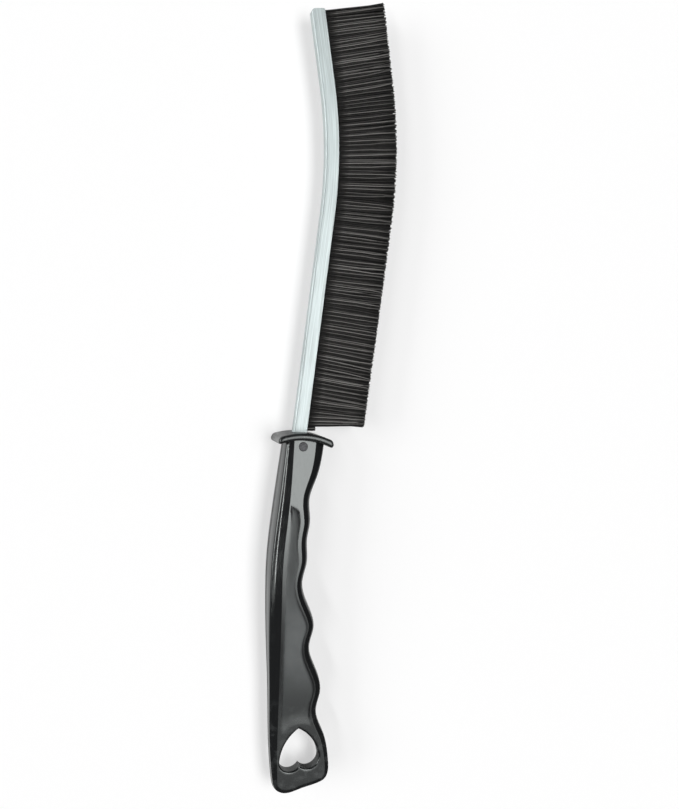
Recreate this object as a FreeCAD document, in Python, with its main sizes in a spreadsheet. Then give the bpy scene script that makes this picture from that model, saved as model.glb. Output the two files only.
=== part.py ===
import FreeCAD, Part
import math
import os
import Sketcher

# A long-reach grout brush: a bent steel strip that grips black filaments over a core wire,
# riveted by its tang into a moulded grip with a guard, finger grooves and a heart-shaped hang hole.
# While it is modelled, x runs towards the filament tips, y towards the toe of the brush and z across
# its thickness, with x = 0 on the strip's centre line, y = 0 on the guard's crown and z = 0 on the
# parting plane. The finished brush is moved so that it lies on z = 0 under the middle of its box.

Vector = FreeCAD.Vector

# Driving dimensions in millimetres and degrees: word, value, meaning.
SIZES = [
    ("strip_depth", 5.2, "closed back of the strip to its lips"),
    ("strip_thickness", 3.3, "outside width across the two cheeks"),
    ("sheet_gauge", 0.5, "steel sheet"),
    ("strip_corner", 0.9, "outer radius where the cheeks fold into the back"),
    ("tang_length", 24.0, "strip hidden below the guard's crown"),
    ("heel_run", 81.0, "straight strip above the guard's crown"),
    ("bend_radius", 166.0, "centre line radius of the bend"),
    ("bend_turn", 15.8, "angle of the bend"),
    ("toe_run", 25.8, "straight strip after the bend"),
    ("wire_diameter", 1.2, "core wire"),
    ("fold_clearance", 0.05, "between filaments and steel"),
    ("bundle_gap", 0.14, "between neighbouring bundles"),
    ("lock_gap", 0.12, "between the locks of one bundle"),
    ("lock_trim", 0.25, "shorter trim of every second lock"),
    ("field_start", 1.8, "guard's crown to the first full bundle"),
    ("field_margin", 0.5, "last bundle to the strip's toe"),
    ("heel_bristle", 21.6, "free filament length at the heel"),
    ("toe_bristle", 22.7, "free filament length at the toe"),
    ("tip_spread", 5.0, "thickness of the bristle at its tips"),
    ("leg_slit", 0.12, "between the two legs of a fold at the lips"),
    ("tip_slit", 0.7, "between the two legs of a fold at the tips"),
    ("leg_meet", 1.6, "core wire to where the two legs meet"),
    ("heel_splay", 7.0, "lean of the filaments at the heel"),
    ("toe_splay", 5.5, "lean of the filaments at the toe"),
    ("splay_fade", 6.0, "distance over which that lean dies away"),
    ("stub_start", 0.15, "guard's crown to the trimmed stub"),
    ("stub_width", 1.4, "trimmed stub along the strip"),
    ("stub_length", 3.3, "free length of the trimmed stub"),
    ("stub_spread", 3.0, "thickness of the trimmed stub at its tips"),
    ("guard_radius", 26.5, "crown radius of the guard"),
    ("guard_place", 2.1, "middle of the crown from the strip's centre line"),
    ("guard_plate", 2.6, "plate thickness of the guard"),
    ("guard_back", 10.9, "crown middle to the guard's back end"),
    ("guard_front", 9.7, "crown middle to the guard's front end"),
    ("guard_depth", 15.4, "guard across the parting plane"),
    ("guard_end", 1.1, "rounding of the guard's two ends"),
    ("guard_edge", 1.1, "rounding along the guard's two faces"),
    ("wall_draft", 0.2, "inset of the grip's walls for each millimetre of height"),
    ("wall_share", 0.76, "share of the half thickness taken by the walls"),
    ("shoulder_share", 0.87, "share of the half thickness below the outer bevel's upper edge"),
    ("shoulder_in", 0.5, "share of the rim taken by the wall and the outer bevel"),
    ("bevel_run_on", 0.1, "inner bevel carried on past the edge of the side face"),
    ("finger_rim_top", 4.1, "rim width on the finger side under the guard"),
    ("finger_rim_butt", 1.6, "rim width on the finger side at the butt"),
    ("dish_margin", 0.7, "edge of the side face to the hollow"),
    ("dish_start", 27.0, "guard's crown to the hollow"),
    ("dish_corner", 1.6, "corner radius at the start of the hollow"),
    ("dish_end_depth", 8.0, "heart's point to the middle of the hollow's round end"),
    ("dish_end_radius", 9.0, "round end of the hollow at the side face"),
    ("dish_end_slope", 14.0, "run of that end's ramp for each millimetre of depth"),
    ("socket_clearance", 0.08, "between tang and socket"),
    ("socket_floor", 0.3, "space under the end of the tang"),
    ("rivet_drop", 5.0, "guard's crown to the rivet"),
    ("rivet_place", 0.9, "rivet from the strip's centre line"),
    ("rivet_shank", 2.0, "shank diameter"),
    ("rivet_head", 3.5, "head diameter"),
    ("rivet_head_height", 0.8, "head height"),
    ("rivet_proud", 0.12, "head above the side panel"),
    ("rivet_clearance", 0.05, "round the shank and the heads"),
    ("heart_rise", 25.4, "left end of the butt edge to the heart's point"),
    ("heart_place", 13.8, "heart's point from the strip's centre line"),
    ("heart_lean", 9.0, "lean of the heart's axis"),
    ("heart_width", 14.9, "over both lobes"),
    ("heart_length", 16.0, "point to the ends of the lobes"),
    ("heart_notch", 1.6, "notch between the lobes"),
    ("heart_widest", 10.9, "point to the widest place"),
    ("heart_flank_depth", 5.4, "point to the middle of a flank"),
    ("heart_flank_reach", 5.4, "axis to the middle of a flank"),
    ("heart_lobe_reach", 4.6, "axis to the end of a lobe"),
    ("butt_left_drop", 5.7, "spine's corner to the butt edge"),
    ("butt_left_in", 5.3, "butt edge's left end inwards of the spine's corner"),
    ("butt_right_drop", 5.5, "finger side's corner to the butt edge"),
    ("butt_right_in", 3.96, "butt edge's right end inwards of the finger side's corner"),
]
BUNDLE_COUNT = 40
LOCKS_PER_BUNDLE = 2
FOLD_FACETS = 2
CORNER_BULGE = 0.2
TOUCH = 0.01

# Outline of the grip on the parting plane: each knot is a step down from the one before it and its
# reach from the strip's centre line. The finger side rises and falls through five grooves, and the
# spine's knots have a third value, the width of the bevelled rim there.
FINGER_KNOTS = [
    ("shoulder", 2.0, 9.6),
    ("neck", 8.0, 9.35),
    ("index_flank", 6.8, 8.2),
    ("index_groove", 7.0, 6.72),
    ("index_crest", 8.5, 8.0),
    ("middle_groove", 6.2, 7.75),
    ("middle_crest", 8.8, 8.78),
    ("ring_groove", 7.0, 8.05),
    ("ring_flank", 10.45, 12.2),
    ("ring_crest", 6.75, 14.7),
    ("little_groove", 6.5, 13.95),
    ("little_flank", 11.1, 18.42),
    ("little_crest", 7.2, 20.65),
    ("heel_groove", 6.7, 19.95),
    ("heel_flank", 10.8, 24.64),
    ("butt_side", 9.4, 27.5),
    ("butt_corner", 3.6, 28.06),
]
SPINE_KNOTS = [
    ("spine_top", 2.0, -5.8, 3.1),
    ("spine_hollow", 28.0, -6.35, 4.6),
    ("spine_palm", 18.0, -6.1, 4.75),
    ("spine_swell", 15.0, -4.6, 4.9),
    ("spine_waist", 15.0, -2.5, 4.6),
    ("spine_tail", 19.0, 0.5, 3.8),
    ("spine_corner", 33.3, 6.1, 2.0),
]
# Side view of the grip: each knot is a step down, the half thickness there and the hollow's depth.
SWELL_KNOTS = [
    ("swell_start", 0.5, 4.75, 0.3),
    ("swell_rise", 21.5, 6.7, 0.3),
    ("swell_crown", 18.0, 6.9, 0.35),
    ("swell_fall", 23.0, 5.7, 0.4),
    ("swell_taper", 34.0, 2.9, 0.4),
    ("swell_plate", 15.0, 2.3, 0.35),
    ("swell_end", 30.0, 2.2, 0.35),
]

doc = FreeCAD.newDocument("GroutBrush")
sheet = doc.addObject("Spreadsheet::Sheet", "Sizes")


def write_row(row, alias, value, note):
    """Put one named size into the sheet."""
    sheet.set(f"A{row}", alias)
    sheet.set(f"B{row}", str(value))
    sheet.set(f"C{row}", note)
    sheet.setAlias(f"B{row}", alias)


rows = list(SIZES)
for knots in (FINGER_KNOTS, SPINE_KNOTS, SWELL_KNOTS):
    for knot, step, reach, *width in knots:
        rows.append((knot + "_step", step, "step down to this knot"))
        rows.append((knot + "_reach", reach, "reach of this knot"))
        rows += [(knot + "_width", value, "rim width or hollow depth at this knot") for value in width]
for number, (alias, value, note) in enumerate(rows, start=1):
    write_row(number, alias, value, note)
doc.recompute()


def size(alias):
    """Value of a named size."""
    return float(sheet.get(alias))


def amount(terms):
    """Sum of named sizes, each times its factor."""
    return sum(factor * size(alias) for alias, factor in terms.items())


def formula(terms):
    """The same sum as an expression on the sheet."""
    return " + ".join(f"{factor} * Sizes.{alias}" for alias, factor in terms.items())


def bind(thing, **properties):
    """Tie properties of an object to sums of named sizes."""
    for name, terms in properties.items():
        thing.setExpression(name, formula(terms))


def knot_points(knots, value="reach"):
    """Knots as (drop below the guard's crown, reach or width)."""
    points = []
    drop = 0.0
    for knot, *_ in knots:
        drop += size(knot + "_step")
        points.append((drop, size(f"{knot}_{value}")))
    return points


def smooth(points):
    """Smooth curve through points."""
    spline = Part.BSplineCurve()
    spline.interpolate(points)
    return spline


def origin_plane(body, role):
    """Origin plane of a body, found by its role."""
    return next(feature for feature in body.Origin.OriginFeatures if feature.Role == role)


def new_sketch(body, name, role):
    """Sketch on an origin plane of its own body."""
    sketch = body.newObject("Sketcher::SketchObject", name)
    sketch.AttachmentSupport = [(origin_plane(body, role), "")]
    sketch.MapMode = "FlatFace"
    return sketch


def pin(sketch, direction, line, end, terms):
    """Hold one coordinate of a line's end, measured from the sketch's origin."""
    if not terms:
        axis = -2 if direction == "DistanceX" else -1
        sketch.addConstraint(Sketcher.Constraint("PointOnObject", line, end, axis))
        return
    index = sketch.addConstraint(Sketcher.Constraint(direction, -1, 1, line, end, amount(terms)))
    sketch.setExpression(f"Constraints[{index}]", formula(terms))


def draw_polygon(sketch, corners):
    """Closed polygon whose corners are pairs of sums of named sizes."""
    places = [Vector(amount(across), amount(along), 0) for across, along in corners]
    lines = []
    for start, end in zip(places, places[1:] + places[:1]):
        lines.append(sketch.addGeometry(Part.LineSegment(start, end)))
    for line, follower in zip(lines, lines[1:] + lines[:1]):
        sketch.addConstraint(Sketcher.Constraint("Coincident", line, 2, follower, 1))
    for line, (across, along) in zip(lines, corners):
        pin(sketch, "DistanceX", line, 1, across)
        pin(sketch, "DistanceY", line, 1, along)


def draw_route(sketch, offset, radius):
    """Straight, bend and straight from the tang's end to the toe, offset from the strip's centre line."""
    x = amount(offset)
    bend = amount(radius)
    turn = math.radians(size("bend_turn"))
    bottom = Vector(x, -size("tang_length"), 0)
    middle = Vector(x, size("heel_run"), 0)
    hub = Vector(x - bend, size("heel_run"), 0)
    upper = hub + Vector(math.cos(turn), math.sin(turn), 0) * bend
    top = upper + Vector(-math.sin(turn), math.cos(turn), 0) * size("toe_run")
    heel = sketch.addGeometry(Part.LineSegment(bottom, middle))
    arc = sketch.addGeometry(Part.ArcOfCircle(Part.Circle(hub, Vector(0, 0, 1), bend), 0, turn))
    toe = sketch.addGeometry(Part.LineSegment(upper, top))
    sketch.addConstraint(Sketcher.Constraint("Vertical", heel))
    pin(sketch, "DistanceX", heel, 1, offset)
    pin(sketch, "DistanceY", heel, 1, {"tang_length": -1})
    pin(sketch, "DistanceY", heel, 2, {"heel_run": 1})
    sketch.addConstraint(Sketcher.Constraint("Tangent", heel, 2, arc, 1))
    sketch.addConstraint(Sketcher.Constraint("Tangent", arc, 2, toe, 1))
    index = sketch.addConstraint(Sketcher.Constraint("Radius", arc, bend))
    sketch.setExpression(f"Constraints[{index}]", formula(radius))
    index = sketch.addConstraint(Sketcher.Constraint("Angle", arc, turn))
    sketch.setExpression(f"Constraints[{index}]", "Sizes.bend_turn * 1 deg")
    index = sketch.addConstraint(Sketcher.Constraint("Distance", toe, size("toe_run")))
    sketch.setExpression(f"Constraints[{index}]", "Sizes.toe_run")


# Places shared by the strip, the wire and the filaments, measured from the strip's centre line.
FOLD_RADIUS = {"strip_thickness": 0.5, "sheet_gauge": -1, "fold_clearance": -1}
WIRE_PLACE = {"strip_depth": -0.5, "strip_thickness": 0.5}


def strip_channel():
    """Sheet folded to a channel, bent near the toe, with the rivet's hole through both cheeks."""
    body = doc.addObject("PartDesign::Body", "StripChannel")
    route = new_sketch(body, "StripRoute", "XY_Plane")
    draw_route(route, {}, {"bend_radius": 1})
    profile = new_sketch(body, "StripProfile", "XZ_Plane")
    profile.setExpression("AttachmentOffset.Base.z", "Sizes.tang_length")
    lips = {"strip_depth": 0.5}
    back = {"strip_depth": -0.5}
    inner_back = {"strip_depth": -0.5, "sheet_gauge": 1}
    cheek = {"strip_thickness": 0.5}
    inner_cheek = {"strip_thickness": 0.5, "sheet_gauge": -1}
    other_cheek = {"strip_thickness": -0.5}
    other_inner = {"strip_thickness": -0.5, "sheet_gauge": 1}
    draw_polygon(profile, [
        (lips, cheek), (back, cheek), (back, other_cheek), (lips, other_cheek),
        (lips, other_inner), (inner_back, other_inner), (inner_back, inner_cheek), (lips, inner_cheek),
    ])
    pipe = body.newObject("PartDesign::AdditivePipe", "StripSweep")
    pipe.Profile = profile
    pipe.Spine = (route, ["Edge1", "Edge2", "Edge3"])
    doc.recompute()
    outer = fold_edges(pipe.Shape, amount(back))
    rounded = body.newObject("PartDesign::Fillet", "StripFold")
    rounded.Base = (pipe, outer)
    rounded.setExpression("Radius", "Sizes.strip_corner")
    doc.recompute()
    inside = body.newObject("PartDesign::Fillet", "StripFoldInside")
    inside.Base = (rounded, fold_edges(rounded.Shape, amount(inner_back)))
    inside.setExpression("Radius", "Sizes.strip_corner - Sizes.sheet_gauge")
    doc.recompute()
    hole = new_sketch(body, "RivetHole", "XY_Plane")
    draw_rivet_circle(hole, {"rivet_shank": 0.5, "rivet_clearance": 1})
    pocket = body.newObject("PartDesign::Pocket", "RivetPocket")
    pocket.Profile = hole
    pocket.Type = "ThroughAll"
    pocket.Midplane = True
    doc.recompute()
    if pocket.Shape.Volume >= inside.Shape.Volume:
        raise RuntimeError("the rivet's hole misses the strip")
    return body


def fold_edges(shape, place):
    """Names of the sharp edges that run along the strip at one distance from its centre line."""
    names = []
    for number, edge in enumerate(shape.Edges, start=1):
        middle = edge.valueAt((edge.FirstParameter + edge.LastParameter) / 2)
        along = edge.tangentAt((edge.FirstParameter + edge.LastParameter) / 2)
        lengthwise = abs(along.z) < TOUCH and edge.Length > 2 * size("strip_depth")
        if lengthwise and abs(distance_out(middle) - place) < TOUCH:
            names.append(f"Edge{number}")
    return names


def distance_out(point):
    """Distance of a point from the strip's centre line, towards the filament tips."""
    turn = math.radians(size("bend_turn"))
    radius = size("bend_radius")
    hub = Vector(-radius, size("heel_run"), 0)
    out = Vector(point.x - hub.x, point.y - hub.y, 0)
    if out.y <= 0:
        return point.x
    if math.atan2(out.y, out.x) >= turn:
        return out.dot(Vector(math.cos(turn), math.sin(turn), 0)) - radius
    return out.Length - radius


def draw_rivet_circle(sketch, radius):
    """Circle on the rivet's axis."""
    place = {"rivet_place": 1}
    drop = {"rivet_drop": -1}
    middle = Vector(amount(place), amount(drop), 0)
    circle = sketch.addGeometry(Part.Circle(middle, Vector(0, 0, 1), amount(radius)))
    pin(sketch, "DistanceX", circle, 3, place)
    pin(sketch, "DistanceY", circle, 3, drop)
    index = sketch.addConstraint(Sketcher.Constraint("Radius", circle, amount(radius)))
    sketch.setExpression(f"Constraints[{index}]", formula(radius))


def core_wire():
    """Round wire along the bottom of the channel, which the filaments are folded over."""
    body = doc.addObject("PartDesign::Body", "CoreWire")
    route = new_sketch(body, "WireRoute", "XY_Plane")
    draw_route(route, WIRE_PLACE, {"bend_radius": 1, **WIRE_PLACE})
    profile = new_sketch(body, "WireProfile", "XZ_Plane")
    profile.setExpression("AttachmentOffset.Base.z", "Sizes.tang_length")
    circle = profile.addGeometry(Part.Circle(Vector(amount(WIRE_PLACE), 0, 0), Vector(0, 0, 1),
                                             size("wire_diameter") / 2))
    pin(profile, "DistanceX", circle, 3, WIRE_PLACE)
    pin(profile, "DistanceY", circle, 3, {})
    index = profile.addConstraint(Sketcher.Constraint("Diameter", circle, size("wire_diameter")))
    profile.setExpression(f"Constraints[{index}]", "Sizes.wire_diameter")
    pipe = body.newObject("PartDesign::AdditivePipe", "WireSweep")
    pipe.Profile = profile
    pipe.Spine = (route, ["Edge1", "Edge2", "Edge3"])
    doc.recompute()
    return body


def strip_length():
    """Centre line of the strip from the guard's crown to the toe."""
    return size("heel_run") + size("bend_radius") * math.radians(size("bend_turn")) + size("toe_run")


def station(run):
    """Point on the strip's centre line and heading there, at a run from the guard's crown."""
    turn = math.radians(size("bend_turn"))
    bend = size("bend_radius") * turn
    past = run - size("heel_run")
    angle = min(max(past / size("bend_radius"), 0.0), turn)
    hub = Vector(-size("bend_radius"), size("heel_run"), 0)
    point = hub + Vector(math.cos(angle), math.sin(angle), 0) * size("bend_radius")
    straight = min(past, 0.0) + max(past - bend, 0.0)
    return point + Vector(-math.sin(angle), math.cos(angle), 0) * straight, angle


def splay(run):
    """Lean of the free filaments towards the toe, largest at both ends of the field."""
    start = size("field_start")
    end = strip_length() - size("field_margin")
    fade = size("splay_fade")
    lean = size("heel_splay") * math.exp(-max(run - start, 0.0) / fade)
    lean += size("toe_splay") * math.exp(-max(end - run, 0.0) / fade)
    return math.radians(lean)


def section_frame(run, lean):
    """Function placing (distance out, z) points on a plane across the strip, turned about the wire."""
    point, angle = station(run)
    across = Vector(math.cos(angle), math.sin(angle), 0)
    out = Vector(math.cos(angle + lean), math.sin(angle + lean), 0)
    wire = amount(WIRE_PLACE)

    def place(distance, height):
        return point + across * wire + out * (distance - wire) + Vector(0, 0, height)

    return place


def free_length(run):
    """Trimmed length of the filaments beyond the lips at a run along the strip."""
    share = run / strip_length()
    return size("heel_bristle") + (size("toe_bristle") - size("heel_bristle")) * share


def fold_section(run, lean, length, tip_half, tip_slit_half):
    """Corners of filaments folded over the core wire, their two legs running out to the trimmed tips."""
    place = section_frame(run, lean)
    outer = amount(FOLD_RADIUS)
    inner = (size("wire_diameter") / 2 + size("fold_clearance")) / math.cos(math.pi / FOLD_FACETS / 2)
    middle = amount(WIRE_PLACE)
    lips = size("strip_depth") / 2
    meet = middle + size("leg_meet")
    slit_half = size("leg_slit") / 2
    turns = [math.pi / 2 + math.pi * step / FOLD_FACETS for step in range(FOLD_FACETS + 1)]
    tips = lips + length
    points = [(tips, tip_half), (lips, outer)]
    points += [(middle + outer * math.cos(turn), outer * math.sin(turn)) for turn in turns]
    points += [(lips, -outer), (tips, -tip_half), (tips, -tip_slit_half), (meet, -slit_half)]
    points += [(middle + inner * math.cos(turn), inner * math.sin(turn)) for turn in reversed(turns)]
    points += [(meet, slit_half), (tips, tip_slit_half)]
    return [place(*point) for point in points]


def flat_face(*corners):
    """Flat face with these corners."""
    return Part.Face(Part.makePolygon([*corners, corners[0]]))


def lock(sections):
    """Solid between two sections of filaments with equally many corners, its sides in flat triangles."""
    first, second = sections
    faces = [flat_face(*first), flat_face(*second)]
    for index, start in enumerate(first):
        faces.append(flat_face(first[index - 1], start, second[index]))
        faces.append(flat_face(first[index - 1], second[index], second[index - 1]))
    solid = Part.Solid(Part.Shell(faces))
    if solid.Volume < 0:
        solid.reverse()
    return solid


def bristle_bundle(number):
    """A group of locks of filaments, each folded over the core wire and trimmed."""
    start = size("field_start")
    pitch = (strip_length() - size("field_margin") - start) / BUNDLE_COUNT
    first = start + pitch * (number - 1)
    width = (pitch - size("bundle_gap") + size("lock_gap")) / LOCKS_PER_BUNDLE
    locks = []
    for index in range(LOCKS_PER_BUNDLE):
        begin = first + width * index
        end = begin + width - size("lock_gap")
        length = free_length((begin + end) / 2) - size("lock_trim") * (index % 2)
        spread = (size("tip_spread") / 2, size("tip_slit") / 2)
        locks.append(lock([fold_section(run, splay(run), length, *spread) for run in (begin, end)]))
    bundle = doc.addObject("Part::Feature", f"BristleBundle{number:02d}")
    bundle.Shape = Part.makeCompound(locks)
    return bundle


def bristle_stub():
    """Short trimmed filaments between the last full bundle and the guard."""
    first = size("stub_start")
    spread = (size("stub_spread") / 2, size("leg_slit") / 2)
    ends = (first, first + size("stub_width"))
    stub = doc.addObject("Part::Feature", "BristleStub")
    stub.Shape = lock([fold_section(run, 0.0, size("stub_length"), *spread) for run in ends])
    return stub


def value_at(points, drop):
    """Value of a smooth curve through (drop, value) points, none above the guard's depth."""
    curve = smooth([Vector(down, value, 0) for down, value in points])
    ray = Part.LineSegment(Vector(drop, 0, 0), Vector(drop, size("guard_depth"), 0))
    return curve.intersectCC(ray)[0].Y


def half_thickness(drop):
    """Half thickness of the grip at a drop below the guard's crown."""
    return value_at(knot_points(SWELL_KNOTS), drop)


def butt_drop():
    """Guard's crown to the left end of the butt edge, the lowest place of the grip."""
    return knot_points(SPINE_KNOTS)[-1][0] + size("butt_left_drop")


def finger_rim(drop):
    """Width of the finger side's rim, which changes evenly from the guard to the butt."""
    top = size("finger_rim_top")
    return top + (size("finger_rim_butt") - top) * drop / butt_drop()


def grip_outline(name, inset, height):
    """Closed outline of the grip, with an inset for each drop and rim width and a height for each drop."""
    finger = []
    for drop, reach in reversed(knot_points(FINGER_KNOTS)):
        finger.append(Vector(reach - inset(drop, finger_rim(drop)), -drop, height(drop)))
    spine = []
    for (drop, reach), (_, width) in zip(knot_points(SPINE_KNOTS), knot_points(SPINE_KNOTS, "width")):
        spine.append(Vector(reach + inset(drop, width), -drop, height(drop)))
    spine_corner_drop, spine_corner_reach = knot_points(SPINE_KNOTS)[-1]
    finger_corner_drop, finger_corner_reach = knot_points(FINGER_KNOTS)[-1]
    left_drop = spine_corner_drop + size("butt_left_drop")
    right_drop = finger_corner_drop + size("butt_right_drop")
    left_reach = spine_corner_reach + size("butt_left_in")
    right_reach = finger_corner_reach - size("butt_right_in")
    left = Vector(left_reach, inset(left_drop, finger_rim(left_drop)) - left_drop, height(left_drop))
    right = Vector(right_reach, inset(right_drop, finger_rim(right_drop)) - right_drop, height(right_drop))
    curves = [
        Part.LineSegment(finger[-1], spine[0]),
        smooth(spine),
        corner_arc(spine[-1], left),
        Part.LineSegment(left, right),
        corner_arc(right, finger[0]),
        smooth(finger),
    ]
    outline = doc.addObject("Part::Feature", name)
    outline.Shape = Part.Wire([curve.toShape() for curve in curves])
    return outline


def corner_arc(start, end):
    """Arc between two points that bulges away from the grip by a share of its chord."""
    chord = end - start
    outwards = Vector(chord.y, -chord.x, 0)
    return Part.Arc(start, (start + end) / 2 + outwards * CORNER_BULGE, end)


def side_slab(name, points):
    """Slab across the grip whose side view is (drop, half thickness) points joined smoothly."""
    upper = smooth([Vector(0, -drop, half) for drop, half in points]).toShape()
    lower = smooth([Vector(0, -drop, -half) for drop, half in points]).toShape()
    ends = []
    for drop, half in (points[0], points[-1]):
        ends.append(Part.LineSegment(Vector(0, -drop, half), Vector(0, -drop, -half)).toShape())
    profile = doc.addObject("Part::Feature", name + "Profile")
    profile.Shape = Part.Face(Part.Wire(Part.__sortEdges__([upper, ends[1], lower, ends[0]])))
    slab = doc.addObject("Part::Extrusion", name)
    slab.Base = profile
    slab.DirMode = "Custom"
    slab.Dir = Vector(1, 0, 0)
    slab.Solid = True
    bind(slab, LengthFwd={"guard_depth": 4}, LengthRev={"guard_depth": 4})
    return slab


def prism(name, outline):
    """Outline drawn out well past both sides of the grip."""
    block = doc.addObject("Part::Extrusion", name)
    block.Base = outline
    block.DirMode = "Custom"
    block.Dir = Vector(0, 0, 1)
    block.Solid = True
    bind(block, LengthFwd={"guard_depth": 2}, LengthRev={"guard_depth": 2})
    return block


def boolean(kind, name, base, tool):
    """Parametric boolean of two shapes."""
    result = doc.addObject(f"Part::{kind}", name)
    result.Base = base
    result.Tool = tool
    return result


def no_inset(drop, rim):
    """Inset of the seam, the grip's outline itself."""
    return 0.0


def wall_inset(drop, rim):
    """Inset of the drafted wall's upper edge."""
    return size("wall_draft") * size("wall_share") * half_thickness(drop)


def shoulder_inset(drop, rim):
    """Inset of the edge between the outer and the inner bevel."""
    return size("shoulder_in") * rim


def bevel_inset(drop, rim):
    """Inset of the inner bevel, a little past the edge of the side face."""
    return rim + size("bevel_run_on")


def cap_inset(drop, rim):
    """Inset of the blank's flat end, well above the side face."""
    return rim + 2 * size("bevel_run_on")


def dish_inset(drop, rim):
    """Inset of the hollow's edge."""
    return rim + size("dish_margin")


def bevel_share():
    """Height share that the inner bevel reaches where it runs on past the side face."""
    rise = 1 - size("shoulder_share")
    return 1 + rise * size("bevel_run_on") / size("finger_rim_top") / (1 - size("shoulder_in"))


def bevelled_grip():
    """Two drafted halves that meet on the parting plane, with two bevels up to each flat side face."""
    rims = [(wall_inset, size("wall_share")), (shoulder_inset, size("shoulder_share")),
            (bevel_inset, bevel_share())]
    halves = {}
    for side in (-1, 1):
        halves[side] = []
        for number, (inset, share) in enumerate(rims):
            halves[side].append(grip_outline(
                f"GripRim{number}", inset, lambda drop: side * share * half_thickness(drop)))
        halves[side].append(grip_outline("GripCap", cap_inset, lambda drop: side * size("guard_depth")))
    seam = grip_outline("GripSeam", no_inset, lambda drop: 0.0)
    blank = doc.addObject("Part::Loft", "GripBlank")
    blank.Sections = [*reversed(halves[-1]), seam, *halves[1]]
    blank.Solid = True
    blank.Ruled = True
    return boolean("Common", "GripSided", blank, side_slab("SideFaces", knot_points(SWELL_KNOTS)))


def hollowed_grip(grip):
    """Side faces with a hollow that starts round under the socket and ends in a ramp at the hang hole."""
    dish = prism("DishPrism", grip_outline("DishOutline", dish_inset, lambda drop: 0.0))
    above = doc.addObject("Part::Box", "DishLimit")
    bind(above, Length={"guard_depth": 8}, Width={"dish_start": 1}, Height={"guard_depth": 6})
    above.setExpression("Placement.Base.x", "-4 * Sizes.guard_depth")
    above.setExpression("Placement.Base.y", "-Sizes.dish_start")
    above.setExpression("Placement.Base.z", "-3 * Sizes.guard_depth")
    lower = boolean("Cut", "DishLower", dish, above)
    doc.recompute()
    corners = []
    for number, edge in enumerate(lower.Shape.Edges, start=1):
        box = edge.BoundBox
        if box.ZLength > size("guard_depth") and abs(box.YMax + size("dish_start")) < TOUCH:
            corners.append((number, size("dish_corner"), size("dish_corner")))
    rounded = doc.addObject("Part::Fillet", "DishRounded")
    rounded.Base = lower
    rounded.Edges = corners
    depths = [depth for _, depth in knot_points(SWELL_KNOTS, "width")]
    floor = [(drop, half - depth) for (drop, half), depth in zip(knot_points(SWELL_KNOTS), depths)]
    hollow = boolean("Cut", "DishTool", rounded, side_slab("DishFloor", floor))
    hollow = boolean("Cut", "DishEnded", hollow, dish_end())
    return boolean("Cut", "GripDished", grip, hollow)


def dish_end():
    """Double cone about the hang hole, which leaves a ramp at the end of the hollow on both sides."""
    middle = heart_place(0, 0, size("dish_end_depth"))
    level = half_thickness(-middle.y - size("dish_end_radius"))
    slope = size("dish_end_slope")
    profile = doc.addObject("Part::Feature", "DishEndProfile")
    wide = size("dish_end_radius") + slope * level
    narrow = level + size("dish_end_radius") / slope
    corners = [Vector(0, 0, -narrow), Vector(wide, 0, 0), Vector(0, 0, narrow)]
    profile.Shape = flat_face(*corners)
    cones = doc.addObject("Part::Revolution", "DishEndCones")
    cones.Source = profile
    cones.Axis = Vector(0, 0, 1)
    cones.Angle = 360
    cones.Solid = True
    cones.Placement.Base = Vector(middle.x, middle.y, 0)
    return cones


def guard():
    """Curved plate across the top of the grip with rounded edges."""
    outer = doc.addObject("Part::Cylinder", "GuardCrown")
    bind(outer, Radius={"guard_radius": 1}, Height={"guard_depth": 1})
    inner = doc.addObject("Part::Cylinder", "GuardUnderside")
    bind(inner, Radius={"guard_radius": 1, "guard_plate": -1}, Height={"guard_depth": 1})
    for cylinder in (outer, inner):
        cylinder.setExpression("Placement.Base.x", "Sizes.guard_place")
        cylinder.setExpression("Placement.Base.y", "-Sizes.guard_radius")
        cylinder.setExpression("Placement.Base.z", "-0.5 * Sizes.guard_depth")
    ring = boolean("Cut", "GuardRing", outer, inner)
    span = doc.addObject("Part::Box", "GuardSpan")
    bind(span,
         Length={"guard_back": 1, "guard_front": 1},
         Width={"guard_radius": 1},
         Height={"guard_depth": 1})
    span.setExpression("Placement.Base.x", "Sizes.guard_place - Sizes.guard_back")
    span.setExpression("Placement.Base.y", "-Sizes.guard_radius")
    span.setExpression("Placement.Base.z", "-0.5 * Sizes.guard_depth")
    plate = boolean("Common", "GuardPlate", ring, span)
    doc.recompute()
    rounded = doc.addObject("Part::Fillet", "GuardRounded")
    rounded.Base = plate
    rounded.Edges = edge_choice(plate.Shape, size("guard_end"), lambda box: box.ZLength > TOUCH)
    doc.recompute()
    softened = doc.addObject("Part::Fillet", "GuardSoftened")
    softened.Base = rounded
    softened.Edges = edge_choice(rounded.Shape, size("guard_edge"), lambda box: box.ZLength < TOUCH)
    return softened


def edge_choice(shape, amount_off, wanted):
    """Edges whose boxes are wanted, each with the size taken off there."""
    return [(number, amount_off, amount_off) for number, edge in enumerate(shape.Edges, start=1)
            if wanted(edge.BoundBox)]


def heart_place(side, reach, depth):
    """Place in the heart's own directions: across it on one side, and down from its point."""
    lean = math.radians(size("heart_lean"))
    down = Vector(math.sin(lean), -math.cos(lean), 0)
    across = Vector(math.cos(lean), math.sin(lean), 0)
    point = Vector(size("heart_place"), size("heart_rise") - butt_drop(), 0)
    return point + across * side * reach + down * depth


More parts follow.
